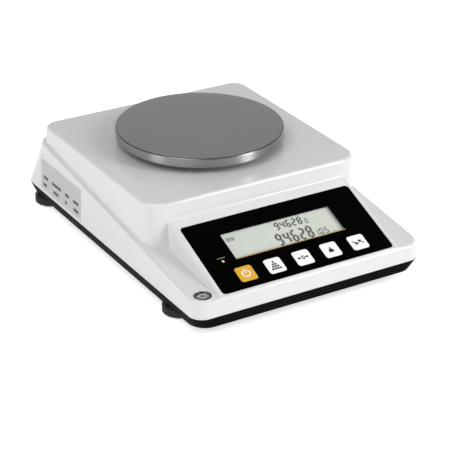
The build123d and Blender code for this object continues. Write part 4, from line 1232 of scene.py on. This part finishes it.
class BALANCE_OT_studio(bpy.types.Operator):
    """Plain pale floor, soft lamps, even surroundings and the camera"""

    bl_idname = "balance.studio"
    bl_label = "Studio"

    def execute(self, context):
        sizes = context.scene.balance_studio
        self.add_floor(sizes)
        self.add_surroundings(context, sizes)
        # Each softbox's azimuth and elevation in degrees, width and height in metres, and power
        for name, azimuth, elevation, width, height, power in (
            ("left_softbox", -176, 5, 0.5, 0.5, sizes.left_power),
            ("upper_softbox", -150, 50, 1.0, 1.0, sizes.upper_power),
            ("right_softbox", -53, 24, 0.45, 1.1, sizes.right_power),
        ):
            self.add_softbox(name, azimuth, elevation, sizes.lamp_distance, width, height, power)
        self.add_camera(context)
        context.scene.view_settings.view_transform = "Standard"
        return {"FINISHED"}

    def add_floor(self, sizes):
        """A sheet of white paper that glows a little in the picture and in mirrors only."""
        half = sizes.floor_size / 2
        mesh = bpy.data.meshes.new("studio_floor")
        corners = [(x, y, CAD_BOX[0][2]) for x, y in square_outline(-half, -half, half, half)]
        mesh.from_pydata(corners, [], [(0, 1, 2, 3)])
        material = bpy.data.materials.new("white_paper_floor")
        tree = empty_tree(material)
        paper = add_node(
            tree, "ShaderNodeBsdfDiffuse", inputs={"Color": [*sizes.floor_colour, 1.0], "Roughness": 0.5}
        )
        path = add_node(tree, "ShaderNodeLightPath").outputs
        strength = path["Is Camera Ray"]
        for operation, value in (
            ("MAXIMUM", path["Is Glossy Ray"]), ("MAXIMUM", path["Is Transmission Ray"]),
            ("MULTIPLY", sizes.floor_glow),
        ):
            strength = add_node(
                tree, "ShaderNodeMath", {"operation": operation}, {0: strength, 1: value}
            )
        glow = add_node(tree, "ShaderNodeEmission", inputs={"Strength": strength})
        both = add_node(tree, "ShaderNodeAddShader", inputs={0: paper, 1: glow})
        add_node(tree, "ShaderNodeOutputMaterial", inputs={"Surface": both})
        link_object("studio_floor", mesh, material)

    def add_surroundings(self, context, sizes):
        """A pale room with a dark wall on the camera's side and a bright one behind the object.

        A low white band carries on the floor to the eye in views from near the floor.
        """
        world = bpy.data.worlds.new("studio_room")
        tree = empty_tree(world)
        direction = add_node(tree, "ShaderNodeTexCoord").outputs["Generated"]
        height = add_node(tree, "ShaderNodeSeparateXYZ", inputs={"Vector": direction}).outputs["Z"]
        near_dark, near_bright = (
            add_node(
                tree, "ShaderNodeVectorMath", {"operation": "DOT_PRODUCT"}, {0: direction, 1: wall}
            ).outputs["Value"]
            for wall in (DARK_WALL, BRIGHT_WALL)
        )
        strength = 1.0
        for operation, reach, (start, end), low, high in (
            ("MULTIPLY", height, CEILING_BAND, sizes.horizon, sizes.overhead),
            ("MULTIPLY", near_dark, DARK_BAND, 1.0, sizes.dark_wall),
            ("MULTIPLY", near_bright, BRIGHT_BAND, 1.0, sizes.bright_wall),
            ("MAXIMUM", height, SKIRTING_BAND, 1.0, 0.0),
        ):
            band = add_node(tree, "ShaderNodeMapRange", {"interpolation_type": "SMOOTHSTEP"}, {
                "Value": reach, "From Min": start, "From Max": end, "To Min": low, "To Max": high,
            })
            strength = add_node(
                tree, "ShaderNodeMath", {"operation": operation}, {0: strength, 1: band}
            )
        light = add_node(tree, "ShaderNodeBackground", inputs={"Color": (1, 1, 1, 1), "Strength": strength})
        add_node(tree, "ShaderNodeOutputWorld", inputs={"Surface": light})
        context.scene.world = world

    def add_softbox(self, name, azimuth, elevation, distance, width, height, power):
        """A soft lamp that faces the object; angles in degrees, azimuth counted from +X."""
        data = bpy.data.lights.new(name, "AREA")
        data.shape = "RECTANGLE"
        data.size = width
        data.size_y = height
        data.energy = power
        lamp = bpy.data.objects.new(name, data)
        around = radians(azimuth)
        above = radians(elevation)
        place = Vector((cos(above) * cos(around), cos(above) * sin(around), sin(above))) * distance
        turn = (-place).to_track_quat("-Z", "Y")
        lamp.matrix_world = Matrix.Translation(place) @ turn.to_matrix().to_4x4()
        bpy.context.scene.collection.objects.link(lamp)

    def add_camera(self, context):
        """The camera at the photograph's place and angle."""
        data = bpy.data.cameras.new("photo_camera")
        data.lens = CAMERA_LENS
        data.clip_start = 0.01
        camera = bpy.data.objects.new("photo_camera", data)
        pose = Matrix.Translation(CAMERA_PLACE)
        for angle, axis in ((CAMERA_YAW, "Z"), (CAMERA_PITCH + pi / 2, "X"), (CAMERA_ROLL, "Z")):
            pose = pose @ Matrix.Rotation(angle, 4, axis)
        camera.matrix_world = pose
        context.scene.collection.objects.link(camera)
        context.scene.camera = camera


class BALANCE_PT_sidebar(bpy.types.Panel):
    """Sizes and makers of the balance's pieces"""

    bl_idname = "BALANCE_PT_sidebar"
    bl_label = "Precision Balance"
    bl_space_type = "VIEW_3D"
    bl_region_type = "UI"
    bl_category = "Balance"

    def draw(self, context):
        layout = self.layout
        for group_name in PROPERTY_GROUPS:
            group = getattr(context.scene, group_name)
            box = layout.box()
            for name in group.bl_rna.properties.keys():
                if name not in ("rna_type", "name"):
                    box.prop(group, name)
        for operator in PIECE_OPERATORS:
            layout.operator(operator.bl_idname)


PIECE_OPERATORS = (
    BALANCE_OT_studio, BALANCE_OT_housing, BALANCE_OT_tray, BALANCE_OT_pan, BALANCE_OT_feet,
    BALANCE_OT_screws, BALANCE_OT_panel, BALANCE_OT_display, BALANCE_OT_level, BALANCE_OT_label,
    BALANCE_OT_load_cell, BALANCE_OT_finishes,
)
PROPERTY_GROUPS = {
    "balance_pan": PanSizes,
    "balance_feet": FootSizes,
    "balance_panel": PanelSizes,
    "balance_studio": StudioSizes,
}


def register():
    for name, group in PROPERTY_GROUPS.items():
        bpy.utils.register_class(group)
        setattr(bpy.types.Scene, name, bpy.props.PointerProperty(type=group))
    for cls in (*PIECE_OPERATORS, BALANCE_PT_sidebar):
        bpy.utils.register_class(cls)


def unregister():
    for cls in reversed((*PIECE_OPERATORS, BALANCE_PT_sidebar)):
        bpy.utils.unregister_class(cls)
    for name, group in PROPERTY_GROUPS.items():
        delattr(bpy.types.Scene, name)
        bpy.utils.unregister_class(group)


def main():
    """Makes every piece in order."""
    register()
    for operator in PIECE_OPERATORS:
        module, name = operator.bl_idname.split(".")
        getattr(getattr(bpy.ops, module), name)()


if __name__ == "__main__":
    main()
